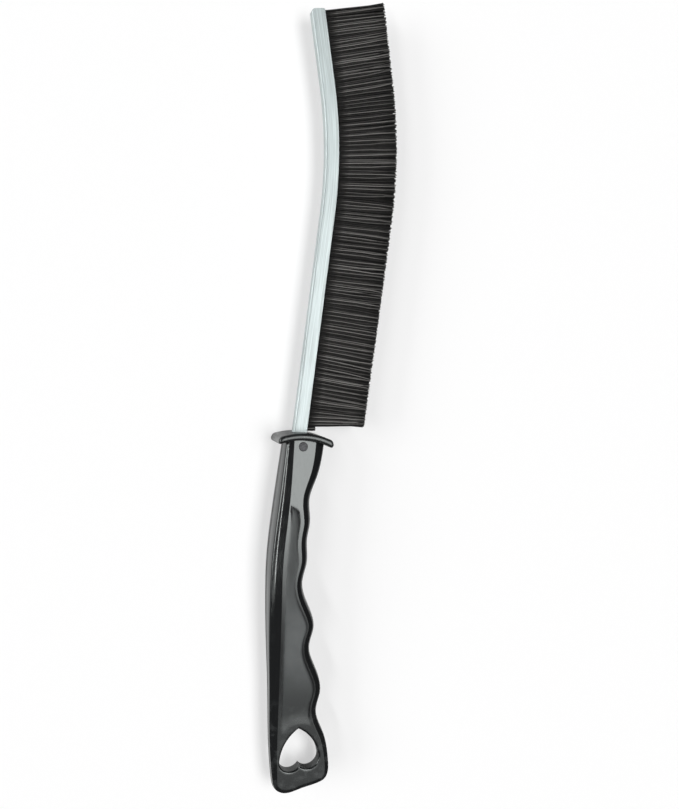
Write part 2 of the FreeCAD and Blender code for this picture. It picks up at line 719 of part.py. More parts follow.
def heart_prism():
    """Heart with its point towards the guard: two long flanks and two lobes."""
    half = size("heart_width") / 2
    point = heart_place(0, 0, 0)
    edges = []
    for side in (1, -1):
        widest = heart_place(side, half, size("heart_widest"))
        flank = heart_place(side, size("heart_flank_reach"), size("heart_flank_depth"))
        lobe = heart_place(side, size("heart_lobe_reach"), size("heart_length"))
        notch = heart_place(side, 0, size("heart_length") - size("heart_notch"))
        edges.append(Part.Arc(point, flank, widest).toShape())
        edges.append(Part.Arc(widest, lobe, notch).toShape())
    outline = doc.addObject("Part::Feature", "HeartOutline")
    outline.Shape = Part.Wire(Part.__sortEdges__(edges))
    return prism("HeartPrism", outline)


def rivet_half_length():
    """Parting plane to the top of a rivet head."""
    return half_thickness(size("rivet_drop")) + size("rivet_proud")


def rivet_bore():
    """Hole for the rivet's shank with a seat for each head."""
    under_head = "(Sizes.rivet_half_length - Sizes.rivet_head_height)"
    shank = rivet_cylinder("RivetBore", "rivet_shank", 4, "-2 * Sizes.guard_depth")
    upper = rivet_cylinder("RivetSeatUpper", "rivet_head", 1, under_head)
    lower = rivet_cylinder("RivetSeatLower", "rivet_head", 1, f"-{under_head} - Sizes.guard_depth")
    return boolean("Fuse", "RivetSeats", boolean("Fuse", "RivetBoreSeated", shank, upper), lower)


def rivet_cylinder(name, diameter, depths, base):
    """Cylinder on the rivet's axis with clearance round it, some guard depths high."""
    cylinder = doc.addObject("Part::Cylinder", name)
    bind(cylinder, Radius={diameter: 0.5, "rivet_clearance": 1}, Height={"guard_depth": depths})
    cylinder.setExpression("Placement.Base.x", "Sizes.rivet_place")
    cylinder.setExpression("Placement.Base.y", "-Sizes.rivet_drop")
    cylinder.setExpression("Placement.Base.z", base)
    return cylinder


def socket():
    """Slot for the tang, open at the guard's crown."""
    slot = doc.addObject("Part::Box", "TangSlot")
    bind(slot,
         Length={"strip_depth": 1, "socket_clearance": 2},
         Width={"tang_length": 1, "socket_floor": 1, "guard_radius": 1},
         Height={"strip_thickness": 1, "socket_clearance": 2})
    slot.setExpression("Placement.Base.x", "-0.5 * Sizes.strip_depth - Sizes.socket_clearance")
    slot.setExpression("Placement.Base.y", "-Sizes.tang_length - Sizes.socket_floor")
    slot.setExpression("Placement.Base.z", "-0.5 * Sizes.strip_thickness - Sizes.socket_clearance")
    return slot


def handle():
    """The moulding: grip, guard, socket, rivet seats and hang hole."""
    grip = hollowed_grip(bevelled_grip())
    moulding = boolean("Fuse", "GripGuarded", grip, guard())
    moulding = boolean("Cut", "GripSocketed", moulding, socket())
    moulding = boolean("Cut", "GripBored", moulding, rivet_bore())
    moulding = boolean("Cut", "Handle", moulding, heart_prism())
    doc.recompute()
    return moulding


def rivet():
    """Shank through grip and tang with a flat head at each side."""
    body = doc.addObject("PartDesign::Body", "Rivet")
    profile = new_sketch(body, "RivetProfile", "XZ_Plane")
    head = {"rivet_head": 0.5}
    shank = {"rivet_shank": 0.5}
    top = {"rivet_half_length": 1}
    under = {"rivet_half_length": 1, "rivet_head_height": -1}
    bottom = {"rivet_half_length": -1}
    over = {"rivet_half_length": -1, "rivet_head_height": 1}
    draw_polygon(profile, [({}, bottom), (head, bottom), (head, over), (shank, over),
                           (shank, under), (head, under), (head, top), ({}, top)])
    turned = body.newObject("PartDesign::Revolution", "RivetTurned")
    turned.Profile = profile
    turned.ReferenceAxis = (profile, ["V_Axis"])
    turned.Angle = 360
    doc.recompute()
    return body


note = "parting plane to the top of a rivet head"
write_row(len(rows) + 1, "rivet_half_length", rivet_half_length(), note)
doc.recompute()

nodes = {"handle": handle(), "strip_channel": strip_channel(), "core_wire": core_wire(), "rivet": rivet()}
nodes["bristle_stub"] = bristle_stub()
for count in range(1, BUNDLE_COUNT + 1):
    nodes[f"bristle_bundle_{count:02d}"] = bristle_bundle(count)
doc.recompute()

# The brush lies on its side: z = 0 under it, x = y = 0 in the middle of its box.
PLACES = {"rivet": {"x": "Sizes.rivet_place", "y": "-Sizes.rivet_drop"}}


def put(node, label, move):
    """Tie a node's place to the sheet: its own place in the brush and the move that all nodes share."""
    for axis in "xyz":
        own = PLACES.get(label, {}).get(axis, "0")
        node.setExpression(f"Placement.Base.{axis}", f"{own} + {move[axis]}")


for label, node in nodes.items():
    put(node, label, {"x": "0", "y": "0", "z": "0"})
doc.recompute()
whole = FreeCAD.BoundBox()
for node in nodes.values():
    whole.add(node.Shape.optimalBoundingBox(False, False))
moves = {"x": -whole.Center.x, "y": -whole.Center.y, "z": -whole.ZMin}
for number, (axis, move) in enumerate(moves.items(), start=len(rows) + 2):
    write_row(number, "move_" + axis, move, "from the modelling origin to the library's")
doc.recompute()
for label, node in nodes.items():
    node.Label = label
    put(node, label, {axis: "Sizes.move_" + axis for axis in moves})
doc.recompute()

for thing in doc.Objects:
    if "Invalid" in thing.State or "Error" in thing.State:
        raise RuntimeError(f"{thing.Name} failed: {thing.State}")
os.makedirs("parts", exist_ok=True)
for label, node in nodes.items():
    shape = node.Shape
    if shape.isNull() or not shape.isValid() or not shape.Solids:
        raise RuntimeError(f"{label} has no valid solid")
    shape.exportStep(f"parts/{label}.step")
    print(f"{label}: {len(shape.Solids)} solid, {shape.Volume:.1f} mm3")
print(f"box {whole.XLength:.2f} x {whole.YLength:.2f} x {whole.ZLength:.2f}")
print(f"move {moves['x']:.3f} {moves['y']:.3f} {moves['z']:.3f}")
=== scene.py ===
# %% [markdown]
# # A grout brush in a white studio
# The brush is a bent steel strip that pinches one narrow line of filaments, riveted into a glossy
# black grip. The solids give every place and size. This lesson dresses them: each visible piece is
# a surface worked out from a formula, so that highlights run smoothly, and each finish is made of
# nodes.

# %% Load the frame
import bmesh
import bpy
import numpy as np
from mathutils import Matrix, Vector
from mathutils.geometry import delaunay_2d_cdt


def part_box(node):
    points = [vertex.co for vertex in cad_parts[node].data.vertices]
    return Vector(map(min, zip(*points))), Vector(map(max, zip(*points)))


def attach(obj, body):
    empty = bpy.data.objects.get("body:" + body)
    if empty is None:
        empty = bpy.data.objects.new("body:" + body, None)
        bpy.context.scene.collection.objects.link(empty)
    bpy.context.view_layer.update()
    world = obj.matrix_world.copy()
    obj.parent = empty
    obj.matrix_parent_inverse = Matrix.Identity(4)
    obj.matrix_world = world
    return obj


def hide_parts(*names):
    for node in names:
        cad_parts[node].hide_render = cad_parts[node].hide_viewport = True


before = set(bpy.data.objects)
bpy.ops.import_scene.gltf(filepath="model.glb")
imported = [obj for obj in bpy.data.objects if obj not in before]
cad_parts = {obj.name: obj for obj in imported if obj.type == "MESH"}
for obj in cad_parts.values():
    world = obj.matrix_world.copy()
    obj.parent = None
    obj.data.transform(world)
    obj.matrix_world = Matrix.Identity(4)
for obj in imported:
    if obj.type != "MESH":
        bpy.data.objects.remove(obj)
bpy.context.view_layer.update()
MM = 0.001

# %% [markdown]
# ## Where things are
# The pieces are worked out in millimetres in the brush's own frame: x runs from the strip's centre
# line to the filament tips, y towards the toe with 0 on the guard's crown, and z is 0 on the parting
# plane of the grip. The strip's solid shows where that frame lies in the scene, so nothing is
# placed by eye.

# %% The brush's own frame
STRIP_DEPTH = 5.2
STRIP_THICKNESS = 3.3
TANG_LENGTH = 24.0
strip_low, strip_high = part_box("strip_channel")
ORIGIN = np.array([
    strip_high.x / MM - STRIP_DEPTH / 2,
    strip_low.y / MM + TANG_LENGTH,
    (strip_low.z + strip_high.z) / 2 / MM,
])
print("guard's crown lies at", np.round(ORIGIN, 3), "mm")


def make_piece(name, points, faces, finish, smooth_angle=None):
    """New object from points in the brush's frame (millimetres) and a list or array of faces."""
    mesh = bpy.data.meshes.new(name)
    places = (np.reshape(points, (-1, 3)) + ORIGIN) * MM
    mesh.from_pydata(places.tolist(), [], [list(face) for face in faces])
    mesh.validate()
    mesh.polygons.foreach_set("use_smooth", np.full(len(mesh.polygons), smooth_angle is not None))
    if smooth_angle is not None:
        mesh.set_sharp_from_angle(angle=np.radians(smooth_angle))
    mesh.materials.append(finish)
    piece = bpy.data.objects.new(name, mesh)
    bpy.context.scene.collection.objects.link(piece)
    return piece


def grid_faces(rows, columns, wrap=False, start=0):
    """Quads of a grid of points stored row by row; wrap joins the last column to the first."""
    across = np.arange(columns if wrap else columns - 1)
    row, column = np.meshgrid(np.arange(rows - 1), across, indexing="ij")
    after = (column + 1) % columns
    corners = [row * columns + column, row * columns + after,
               (row + 1) * columns + after, (row + 1) * columns + column]
    return start + np.stack(corners, axis=-1).reshape(-1, 4)


# %% [markdown]
# ## Curves through knots
# A moulder's outline is a smooth curve through a few knots. A natural cubic spline is such a curve:
# its second derivative is continuous and vanishes at both ends, and it comes from one small linear
# system, solved here for a whole column of values at once.

# %% Smooth curves
def spline_through(knots, values, at):
    """Natural cubic spline: per span a cubic whose second derivatives meet at the knots."""
    knots = np.asarray(knots, float)
    values = np.asarray(values, float)
    step = np.diff(knots)
    slope = np.diff(values) / step
    count = len(knots)
    system = np.eye(count)
    inner = np.arange(1, count - 1)
    system[inner, inner - 1] = step[:-1]
    system[inner, inner] = 2 * (step[:-1] + step[1:])
    system[inner, inner + 1] = step[1:]
    bend = np.zeros(count)
    bend[inner] = 6 * np.diff(slope)
    curvature = np.linalg.solve(system, bend)
    span = np.clip(np.searchsorted(knots, at) - 1, 0, count - 2)
    before = knots[span + 1] - at
    after = at - knots[span]
    width = step[span]
    left = curvature[span] * before**3 / (6 * width)
    right = curvature[span + 1] * after**3 / (6 * width)
    left_line = (values[span] / width - curvature[span] * width / 6) * before
    right_line = (values[span + 1] / width - curvature[span + 1] * width / 6) * after
    return left + right + left_line + right_line


def path_through(points, spacing):
    """Evenly spaced points of a smooth path: each column is a spline over the chord length."""
    points = np.asarray(points, float)
    chord = np.concatenate([[0], np.cumsum(np.linalg.norm(np.diff(points[:, :2], axis=0), axis=1))])
    at = np.linspace(0, chord[-1], int(chord[-1] / spacing) + 1)
    return np.stack([spline_through(chord, column, at) for column in points.T], axis=1)


def inward_normals(path, closed):
    """Unit normals on the left of a flat path: its tangent turned by a quarter."""
    if closed:
        along = np.roll(path, -1, axis=0) - np.roll(path, 1, axis=0)
    else:
        along = np.gradient(path, axis=0)
    along /= np.linalg.norm(along, axis=1, keepdims=True)
    return np.stack([-along[:, 1], along[:, 0]], axis=1)


def rays(angle):
    """Unit vectors at the given angles."""
    return np.stack([np.cos(angle), np.sin(angle)], axis=-1)


# %% [markdown]
# ## Finishes
# Two effects are shared, so each is a node group with its own inputs: a mottle that varies gloss and
# tone a little, and lines drawn along a piece. Either can also lift the surface by microns. The
# shaders themselves stay in the materials.

# %% Shared node groups
NOISE_SPAN = (0.3, 0.7)


def feed(tree, node, given):
    """Sets inputs of a node to values, or links them to sockets."""
    for label, value in given.items():
        if isinstance(value, bpy.types.NodeSocket):
            tree.links.new(value, node.inputs[label])
        else:
            node.inputs[label].default_value = value


def add_node(tree, kind, **given):
    """New node with some of its inputs given."""
    node = tree.nodes.new(kind)
    feed(tree, node, given)
    return node


def noise_group(name, stretch_input):
    """Node group: noise mapped to a range, so that its value runs evenly from Low to High."""
    group = bpy.data.node_groups.new(name, "ShaderNodeTree")
    inputs = {"Vector": (0.0, 0.0, 0.0), "Scale": 100.0, "Low": 0.0, "High": 1.0}
    if stretch_input:
        inputs["Stretch"] = (1.0, 1.0, 1.0)
    for label, value in inputs.items():
        kind = "NodeSocketFloat" if isinstance(value, float) else "NodeSocketVector"
        socket = group.interface.new_socket(label, in_out="INPUT", socket_type=kind)
        socket.default_value = value
    group.interface.new_socket("Value", in_out="OUTPUT", socket_type="NodeSocketFloat")
    given = group.nodes.new("NodeGroupInput").outputs
    place = given["Vector"]
    if stretch_input:
        stretched = group.nodes.new("ShaderNodeVectorMath")
        stretched.operation = "MULTIPLY"
        feed(group, stretched, {0: place, 1: given["Stretch"]})
        place = stretched.outputs["Vector"]
    noise = add_node(group, "ShaderNodeTexNoise", Vector=place, Scale=given["Scale"], Detail=4.0)
    low, high = NOISE_SPAN
    ranged = group.nodes.new("ShaderNodeMapRange")
    feed(group, ranged, {"Value": noise.outputs["Fac"], "From Min": low, "From Max": high,
                         "To Min": given["Low"], "To Max": given["High"]})
    add_node(group, "NodeGroupOutput", Value=ranged.outputs["Result"])
    return group


MOTTLE = noise_group("mottle", False)
DRAWN_LINES = noise_group("drawn_lines", True)
print("groups:", MOTTLE.name, DRAWN_LINES.name)


# %% [markdown]
# A material is a tree of nodes. These helpers keep each finish to a few readable lines: they add nodes
# with their inputs given, combine values, and read what a piece stores on its vertices.

# %% Nodes of a material
def new_finish(name, color, roughness, metallic=0.0):
    """Material with a principled shader; returns it, its tree and the shader."""
    finish = bpy.data.materials.new(name)
    finish.use_nodes = True
    tree = finish.node_tree
    shader = tree.nodes["Principled BSDF"]
    feed(tree, shader, {"Base Color": (*color, 1.0), "Roughness": roughness, "Metallic": metallic})
    return finish, tree, shader


def add_group(tree, group, vector, **given):
    """A shared group placed in a material and fed with a coordinate."""
    node = tree.nodes.new("ShaderNodeGroup")
    node.node_tree = group
    feed(tree, node, {"Vector": vector, **given})
    return node.outputs["Value"]


def add_bump(tree, shader, height, distance, strength):
    """Bump of a height value times a distance in metres."""
    bump = add_node(tree, "ShaderNodeBump", Height=height, Distance=distance, Strength=strength)
    feed(tree, shader, {"Normal": bump.outputs["Normal"]})


def add_ramp(tree, value, first, last):
    """Ramp from one colour to another."""
    ramp = add_node(tree, "ShaderNodeValToRGB", Fac=value)
    ends = ramp.color_ramp.elements
    ends[0].color, ends[1].color = (*first, 1.0), (*last, 1.0)
    return ramp


def combine(tree, operation, first, second=0.0):
    """Math node on two sockets or numbers."""
    node = tree.nodes.new("ShaderNodeMath")
    node.operation = operation
    feed(tree, node, {0: first, 1: second})
    return node.outputs["Value"]


def product(tree, first, *others):
    """All given sockets or numbers multiplied."""
    for other in others:
        first = combine(tree, "MULTIPLY", first, other)
    return first


def soft_step(tree, value, start, end):
    """0 at the start and 1 at the end, smooth between."""
    ranged = tree.nodes.new("ShaderNodeMapRange")
    ranged.interpolation_type = "SMOOTHSTEP"
    feed(tree, ranged, {"Value": value, "From Min": start, "From Max": end})
    return ranged.outputs["Result"]


def coordinate(tree, kind="Object"):
    """Place on the piece itself, or a direction of the sky."""
    return tree.nodes.new("ShaderNodeTexCoord").outputs[kind]


def split_place(tree, place):
    """The x, y and z of a coordinate."""
    return add_node(tree, "ShaderNodeSeparateXYZ", Vector=place).outputs


def attribute(tree, name):
    """Outputs of a node that reads a value stored on the piece's vertices."""
    node = tree.nodes.new("ShaderNodeAttribute")
    node.attribute_name = name
    return node.outputs


def store_values(piece, name, values):
    """Stores one number or one vector for every vertex of a piece."""
    values = np.ascontiguousarray(values, np.float32).ravel()
    single = values.size == len(piece.data.vertices)
    store = piece.data.attributes.new(name, "FLOAT" if single else "FLOAT_VECTOR", "POINT")
    store.data.foreach_set("value" if single else "vector", values)


# %% [markdown]
# The grip is glossy black polypropylene straight from a polished mould: nearly black, with a sharp
# reflection that a faint flow mottle and handling scuffs make uneven. The hollow in its side was left
# duller in the mould, so every vertex carries how matte it is. The lower hollow is painted a lighter
# grey as a painted sheen, and the butt has fainter mottled painted reflections.

# %% Black moulded plastic
BLACK = (0.01, 0.0105, 0.011)
# Grey painted over the black as a painted sheen in the lower hollow and at the butt.
PAINTED_SHEEN_GREY = (0.09, 0.095, 0.096)
GRAINED = 0.34
SHEEN_START = (-56 * MM, -88 * MM)
SHEEN_END = (-115 * MM, -92 * MM)
BUTT_SHEEN = (-105 * MM, -125 * MM)


def black_plastic():
    """Black with painted grey sheen; roughness sums a flow mottle, scuffs and the hollow's share."""
    finish, tree, shader = new_finish("black_plastic", BLACK, 0.15)
    place = coordinate(tree)
    gloss = add_group(tree, MOTTLE, place, Scale=140.0, Low=0.1, High=0.15)
    scuffs = add_group(tree, DRAWN_LINES, place, Scale=1.0, Low=-0.07, High=0.07,
                       Stretch=(1700.0, 420.0, 900.0))
    matte = attribute(tree, "matte")["Fac"]
    _, along, _ = split_place(tree, place)
    # Painted sheen: the lower hollow is painted lighter grey, and the butt gets mottled painted
    # reflections.
    palm = product(tree, soft_step(tree, along, *SHEEN_START), soft_step(tree, along, *SHEEN_END), matte,
                   add_group(tree, MOTTLE, place, Scale=170.0, Low=0.75, High=1.05))
    butt = product(tree, soft_step(tree, along, *BUTT_SHEEN),
                   add_group(tree, MOTTLE, place, Scale=330.0, Low=-0.3, High=0.32))
    painted_sheen = add_ramp(tree, combine(tree, "MAXIMUM", palm, butt), BLACK, PAINTED_SHEEN_GREY)
    worn = combine(tree, "ADD", gloss, combine(tree, "MAXIMUM", scuffs, 0.0))
    rough = combine(tree, "ADD", worn, product(tree, matte, GRAINED))
    feed(tree, shader, {"Base Color": painted_sheen.outputs["Color"], "Roughness": rough, "IOR": 1.55,
                        "Specular Tint": (0.95, 1.0, 0.985, 1.0)})
    swell = add_group(tree, MOTTLE, place, Scale=900.0)
    add_bump(tree, shader, swell, 0.004 * MM, 0.35)
    return finish


# %% [markdown]
# The strip is bright galvanised sheet. Rolling and folding leave fine lines along it, so its noise
# is stretched along the strip: each vertex carries its run along the strip and its way round the
# profile, and the lines read those.

# %% Galvanised steel
MIX_FIRST, MIX_SECOND, MIX_RESULT = 6, 7, 2  # colour sockets of a mix node


def galvanised_steel(name, color, low, high, tones, metallic):
    """Zinc with lines along the piece, read from the along and around values of its vertices."""
    finish, tree, shader = new_finish(name, color, high, metallic)
    lay = attribute(tree, "lay")["Vector"]
    lines = add_group(tree, DRAWN_LINES, lay, Scale=1.0, Low=low, High=high, Stretch=(0.09, 5.0, 1.0))
    tone = add_group(tree, DRAWN_LINES, lay, Scale=1.0, Low=tones[0], High=tones[1],
                     Stretch=(0.05, 2.6, 1.0))
    shade = tree.nodes.new("ShaderNodeMix")
    shade.data_type = "RGBA"
    shade.blend_type = "MULTIPLY"
    feed(tree, shade, {"Factor": 1.0, MIX_FIRST: (*color, 1.0), MIX_SECOND: tone})
    feed(tree, shader, {"Base Color": shade.outputs[MIX_RESULT], "Roughness": lines})
    relief = add_group(tree, DRAWN_LINES, lay, Scale=1.0, Stretch=(0.07, 9.0, 1.0))
    add_bump(tree, shader, relief, 0.006 * MM, 0.5)
    return finish


# %% [markdown]
# The filaments are extruded nylon, dark but not black. Each one carries its own shade value, so that
# single light filaments stand out among the dark ones. That value is also painted shade: it is low for
# the deep filling and falls towards the root by the lips.

# %% Filament nylon
def filament_nylon():
    """Dark to light grey by the filament's own shade; light ones are glossier than dark ones."""
    finish, tree, shader = new_finish("filament_nylon", (0.04, 0.038, 0.036), 0.5)
    shade = attribute(tree, "shade")["Fac"]
    ramp = add_ramp(tree, shade, (0.005, 0.0048, 0.0046), (0.235, 0.229, 0.219))
    middle = ramp.color_ramp.elements.new(0.5)
    middle.color = (0.026, 0.0253, 0.0242, 1.0)
    gloss = add_group(tree, MOTTLE, coordinate(tree), Scale=600.0, Low=0.7, High=0.9)
    rough = combine(tree, "SUBTRACT", gloss, product(tree, shade, 0.3))
    feed(tree, shader, {"Base Color": ramp.outputs["Color"], "Roughness": rough,
                        "Specular IOR Level": 0.25})
    return finish


PLASTIC = black_plastic()
STEEL = galvanised_steel("galvanised_steel", (0.43, 0.486, 0.486), 0.36, 0.46, (0.74, 1.16), 0.3)
WIRE_STEEL = galvanised_steel("wire_steel", (0.6, 0.61, 0.63), 0.3, 0.45, (0.85, 1.08), 1.0)
NYLON = filament_nylon()
print("finishes:", [finish.name for finish in (PLASTIC, STEEL, WIRE_STEEL, NYLON)])

# %% [markdown]
# ## The grip
# The real grip is one moulding in two drafted halves. Its outline on the parting plane has a gently
# bowed spine and five finger grooves, and its side view swells for the palm. A profile carried round
# that outline makes the rim: a fine parting ridge, a wall that curves inwards, two bevels with soft
# edges, and the crisp edge of the flat side face. The rim is wider on the spine than on the fingers.

# %% Outline and swell of the grip
# Each knot starts with its drop below the guard's crown. SPINE adds reach and rim width, BUTT and
# FINGER add reach, and SWELL adds half thickness and the hollow's depth.
BUTT_DROP = 136.0
SPINE = [(2.0, -5.8, 3.1), (30.0, -6.35, 4.6), (48.0, -6.1, 4.75), (63.0, -4.6, 4.9), (78.0, -2.5, 4.6),
         (97.0, 0.5, 3.8), (130.3, 6.1, 2.0)]
BUTT = [(134.0, 7.7), (135.75, 11.4), (134.15, 17.9), (132.2, 24.1), (130.3, 27.1)]
FINGER = [(126.8, 28.0), (123.2, 27.5), (113.8, 24.64), (103.0, 19.95), (96.3, 20.65), (89.1, 18.42),
          (78.0, 13.95), (71.5, 14.7), (64.75, 12.2), (54.3, 8.05), (47.3, 8.78), (38.5, 7.75),
          (32.3, 8.0), (23.8, 6.72), (16.8, 8.2), (10.0, 9.35), (2.0, 9.6)]
SWELL = [(0.5, 4.75, 0.4), (22.0, 6.7, 0.4), (40.0, 6.9, 0.12), (63.0, 5.7, 0.1), (97.0, 2.9, 0.2),
         (112.0, 2.3, 0.2), (142.0, 2.2, 0.2)]
FINGER_RIM_TOP = 4.1
FINGER_RIM_BUTT = 1.6


def finger_rim(drop):
    """Rim width on the finger side, which changes evenly from the guard to the butt."""
    return FINGER_RIM_TOP + (FINGER_RIM_BUTT - FINGER_RIM_TOP) * drop / BUTT_DROP


def half_thickness(y):
    """Half thickness of the grip at y, a spline through the swell's knots."""
    drops, halves, _ = np.array(SWELL).T
    return spline_through(drops, halves, -np.asarray(y, float))


knots = [(reach, -drop, rim) for drop, reach, rim in SPINE]
knots += [(reach, -drop, finger_rim(drop)) for drop, reach in BUTT + FINGER]
route = path_through(knots, 0.5)
outline = route[:, :2]
rim_widths = route[:, 2]
outline_normals = inward_normals(outline, closed=False)
print("outline:", len(outline), "points, rim", rim_widths.min().round(2), "to",
      rim_widths.max().round(2), "mm")

# %% [markdown]
# The rim could be an extrusion with a bevel, but its bevels narrow towards the butt. So the profile
# is worked out anew at every point of the outline, with a short parabola at each corner.

# %% The rim, carried round the outline
WALL_DRAFT = 0.2
WALL_SHARE = 0.76
SHOULDER_SHARE = 0.87
SHOULDER_IN = 0.5
RIDGE = 0.1
RIDGE_HALF = 0.25
WALL_ROUND = 0.6
SHOULDER_ROUND = 0.4
EDGE_ROUND = 0.12
FACE_LAP = 0.5
FLAT_SHARES = np.array([0.06, 0.12, 0.5, 0.88, 0.94])


def rounded_corner(before, corner, after, radius, count):
    """Parabola that rounds a corner: it leaves one side and meets the other at a radius from it."""
    def towards(point):
        way = point - corner
        return corner + way / np.linalg.norm(way, axis=1, keepdims=True) * radius

    share = np.linspace(0, 1, count)[:, None]
    start, end = towards(before)[:, None, :], towards(after)[:, None, :]
    return (1 - share)**2 * start + 2 * share * (1 - share) * corner[:, None, :] + share**2 * end


def between(before, after):
    """Points on the flat between two rounded corners, close to both ends, so that it shades flat."""
    return before[:, -1:] + (after[:, :1] - before[:, -1:]) * FLAT_SHARES[:, None]


def rim_profile():
    """(inset, height) of the profile at every point of the outline: ridge, wall, bevels, edge."""
    half = half_thickness(outline[:, 1])
    wall_top = np.stack([WALL_DRAFT * WALL_SHARE * half, WALL_SHARE * half], axis=1)
    shoulder = np.stack([SHOULDER_IN * rim_widths, SHOULDER_SHARE * half], axis=1)
    edge = np.stack([rim_widths, half], axis=1)
    inner = np.stack([rim_widths + FACE_LAP, half], axis=1)
    swing = np.linspace(0, np.pi / 2, 5)
    ridge = np.stack([RIDGE * (1 - np.cos(swing)), RIDGE_HALF * np.sin(swing)], axis=1)
    ridge = np.broadcast_to(ridge, (len(outline), 5, 2))
    climb = np.linspace(0.08, 0.94, 9)[None, :]
    wall = np.stack([RIDGE + (wall_top[:, :1] - RIDGE) * climb**2, wall_top[:, 1:] * climb], axis=2)
    top = rounded_corner(wall[:, -1], wall_top, shoulder, WALL_ROUND, 6)
    upper = rounded_corner(wall_top, shoulder, edge, SHOULDER_ROUND, 5)
    crisp = rounded_corner(shoulder, edge, inner, EDGE_ROUND, 4)
    outer_flat, inner_flat = (between(*ends) for ends in ((top, upper), (upper, crisp)))
    bands = [ridge, wall, top, outer_flat, upper, inner_flat, crisp, inner[:, None, :]]
    return np.concatenate(bands, axis=1)


def rim_grid():
    """The profile set off along the outline's normals, its heights scaled to the swell there."""
    profile = rim_profile()
    flat = outline[:, None, :] + outline_normals[:, None, :] * profile[..., :1]
    scale = half_thickness(flat[..., 1]) / half_thickness(outline[:, 1])[:, None]
    return np.concatenate([flat, (profile[..., 1] * scale)[..., None]], axis=2)


rim = rim_grid()
print("rim:", rim.shape[0] * rim.shape[1], "points")

# %% [markdown]
# The hang hole is a plain heart with its point towards the guard: two flanks and two lobes, each an
# arc through three points. Its wall has soft edges.

# %% The heart
HEART_POINT = np.array([13.8, -110.6])
HEART_LEAN = np.radians(9.0)
HEART_ROUND = 0.6
HEART_FLANK = [(0.0, 0.0), (5.4, 5.4), (7.45, 10.9)]
HEART_LOBE = [(7.45, 10.9), (4.6, 16.0), (0.0, 14.4)]
HEART_ACROSS = rays(HEART_LEAN)
HEART_DOWN = np.array([np.sin(HEART_LEAN), -np.cos(HEART_LEAN)])


def arc_through(first, middle, last, count):
    """Points of the circle through three points, from the first to the last by way of the middle."""
    first, middle, last = (np.asarray(point, float) for point in (first, middle, last))
    sides = 2 * np.stack([middle - first, last - first])
    squares = np.array([middle @ middle - first @ first, last @ last - first @ first])
    centre = np.linalg.solve(sides, squares)
    angles = [np.arctan2(*(point - centre)[::-1]) for point in (first, middle, last)]
    start, _, end = np.unwrap(angles)
    turn = np.linspace(start, end, count)
    radius = np.linalg.norm(first - centre)
    return centre + radius * rays(turn)


def heart_loop():
    """Closed heart, counter-clockwise: one side's arcs and their mirror image, leaned over."""
    one_side = np.concatenate([arc_through(*HEART_FLANK, 28)[:-1], arc_through(*HEART_LOBE, 28)])
    other_side = one_side[::-1] * np.array([-1.0, 1.0])
    local = np.concatenate([one_side[:-1], other_side[:-1]])
    loop = HEART_POINT + local[:, :1] * HEART_ACROSS + local[:, 1:] * HEART_DOWN
    return loop[::-1]


def heart_grid(loop):
    """Wall of the hole from one side face to the other, with a quarter circle at each edge."""
    outwards = -inward_normals(loop, closed=True)
    swing = np.linspace(0, np.pi / 2, 7)
    spread = HEART_ROUND * (1 - np.sin(swing))
    sink = HEART_ROUND * (1 - np.cos(swing))
    spread, sink = (np.concatenate([half, half[::-1]]) for half in (spread, sink))
    side = np.repeat([1, -1], len(swing))
    flat = loop[:, None, :] + outwards[:, None, :] * spread[None, :, None]
    height = side * (half_thickness(flat[..., 1]) - sink)
    return np.concatenate([flat, height[..., None]], axis=2)


heart = heart_grid(heart_loop())
print("heart:", heart.shape[0] * heart.shape[1], "points")

# %% [markdown]
# Below the socket the side face has a shallow matte hollow. It starts with a skewed round end, runs
# down between the rims and rises in a ramp to the hang hole. Its wall is a soft step of the distance
# from its edge, wide on the spine and narrow on the fingers.

# %% The hollow's edge
# The pairs give a width at a drop below the guard's crown: the edge's margin and its soft wall.
SPINE_START = 26.2
FINGER_START = 27.4
SPINE_MARGIN = [(26.0, 0.15), (32.0, 0.7)]
FINGER_MARGIN = [(40.0, 1.2), (52.0, 0.45)]
START_RISE = 0.9
RAMP_CENTRE = HEART_POINT + 8.0 * HEART_DOWN
RAMP_RADIUS = 9.2
RAMP_RUN = 6.0
SPINE_WALL = [(26.0, 1.4), (34.0, 1.9)]
FINGER_WALL = [(28.0, 2.4), (40.0, 1.2)]
START_WALL = 2.2
END_WALL = 1.2


def smooth_step(value):
    """0 below 0, 1 above 1, and 3 v^2 - 2 v^3 between."""
    value = np.clip(value, 0.0, 1.0)
    return value**2 * (3 - 2 * value)


def at_drop(pairs, drop):
    """Width at a drop, between the pairs that give it."""
    return np.interp(drop, *np.array(pairs).T)


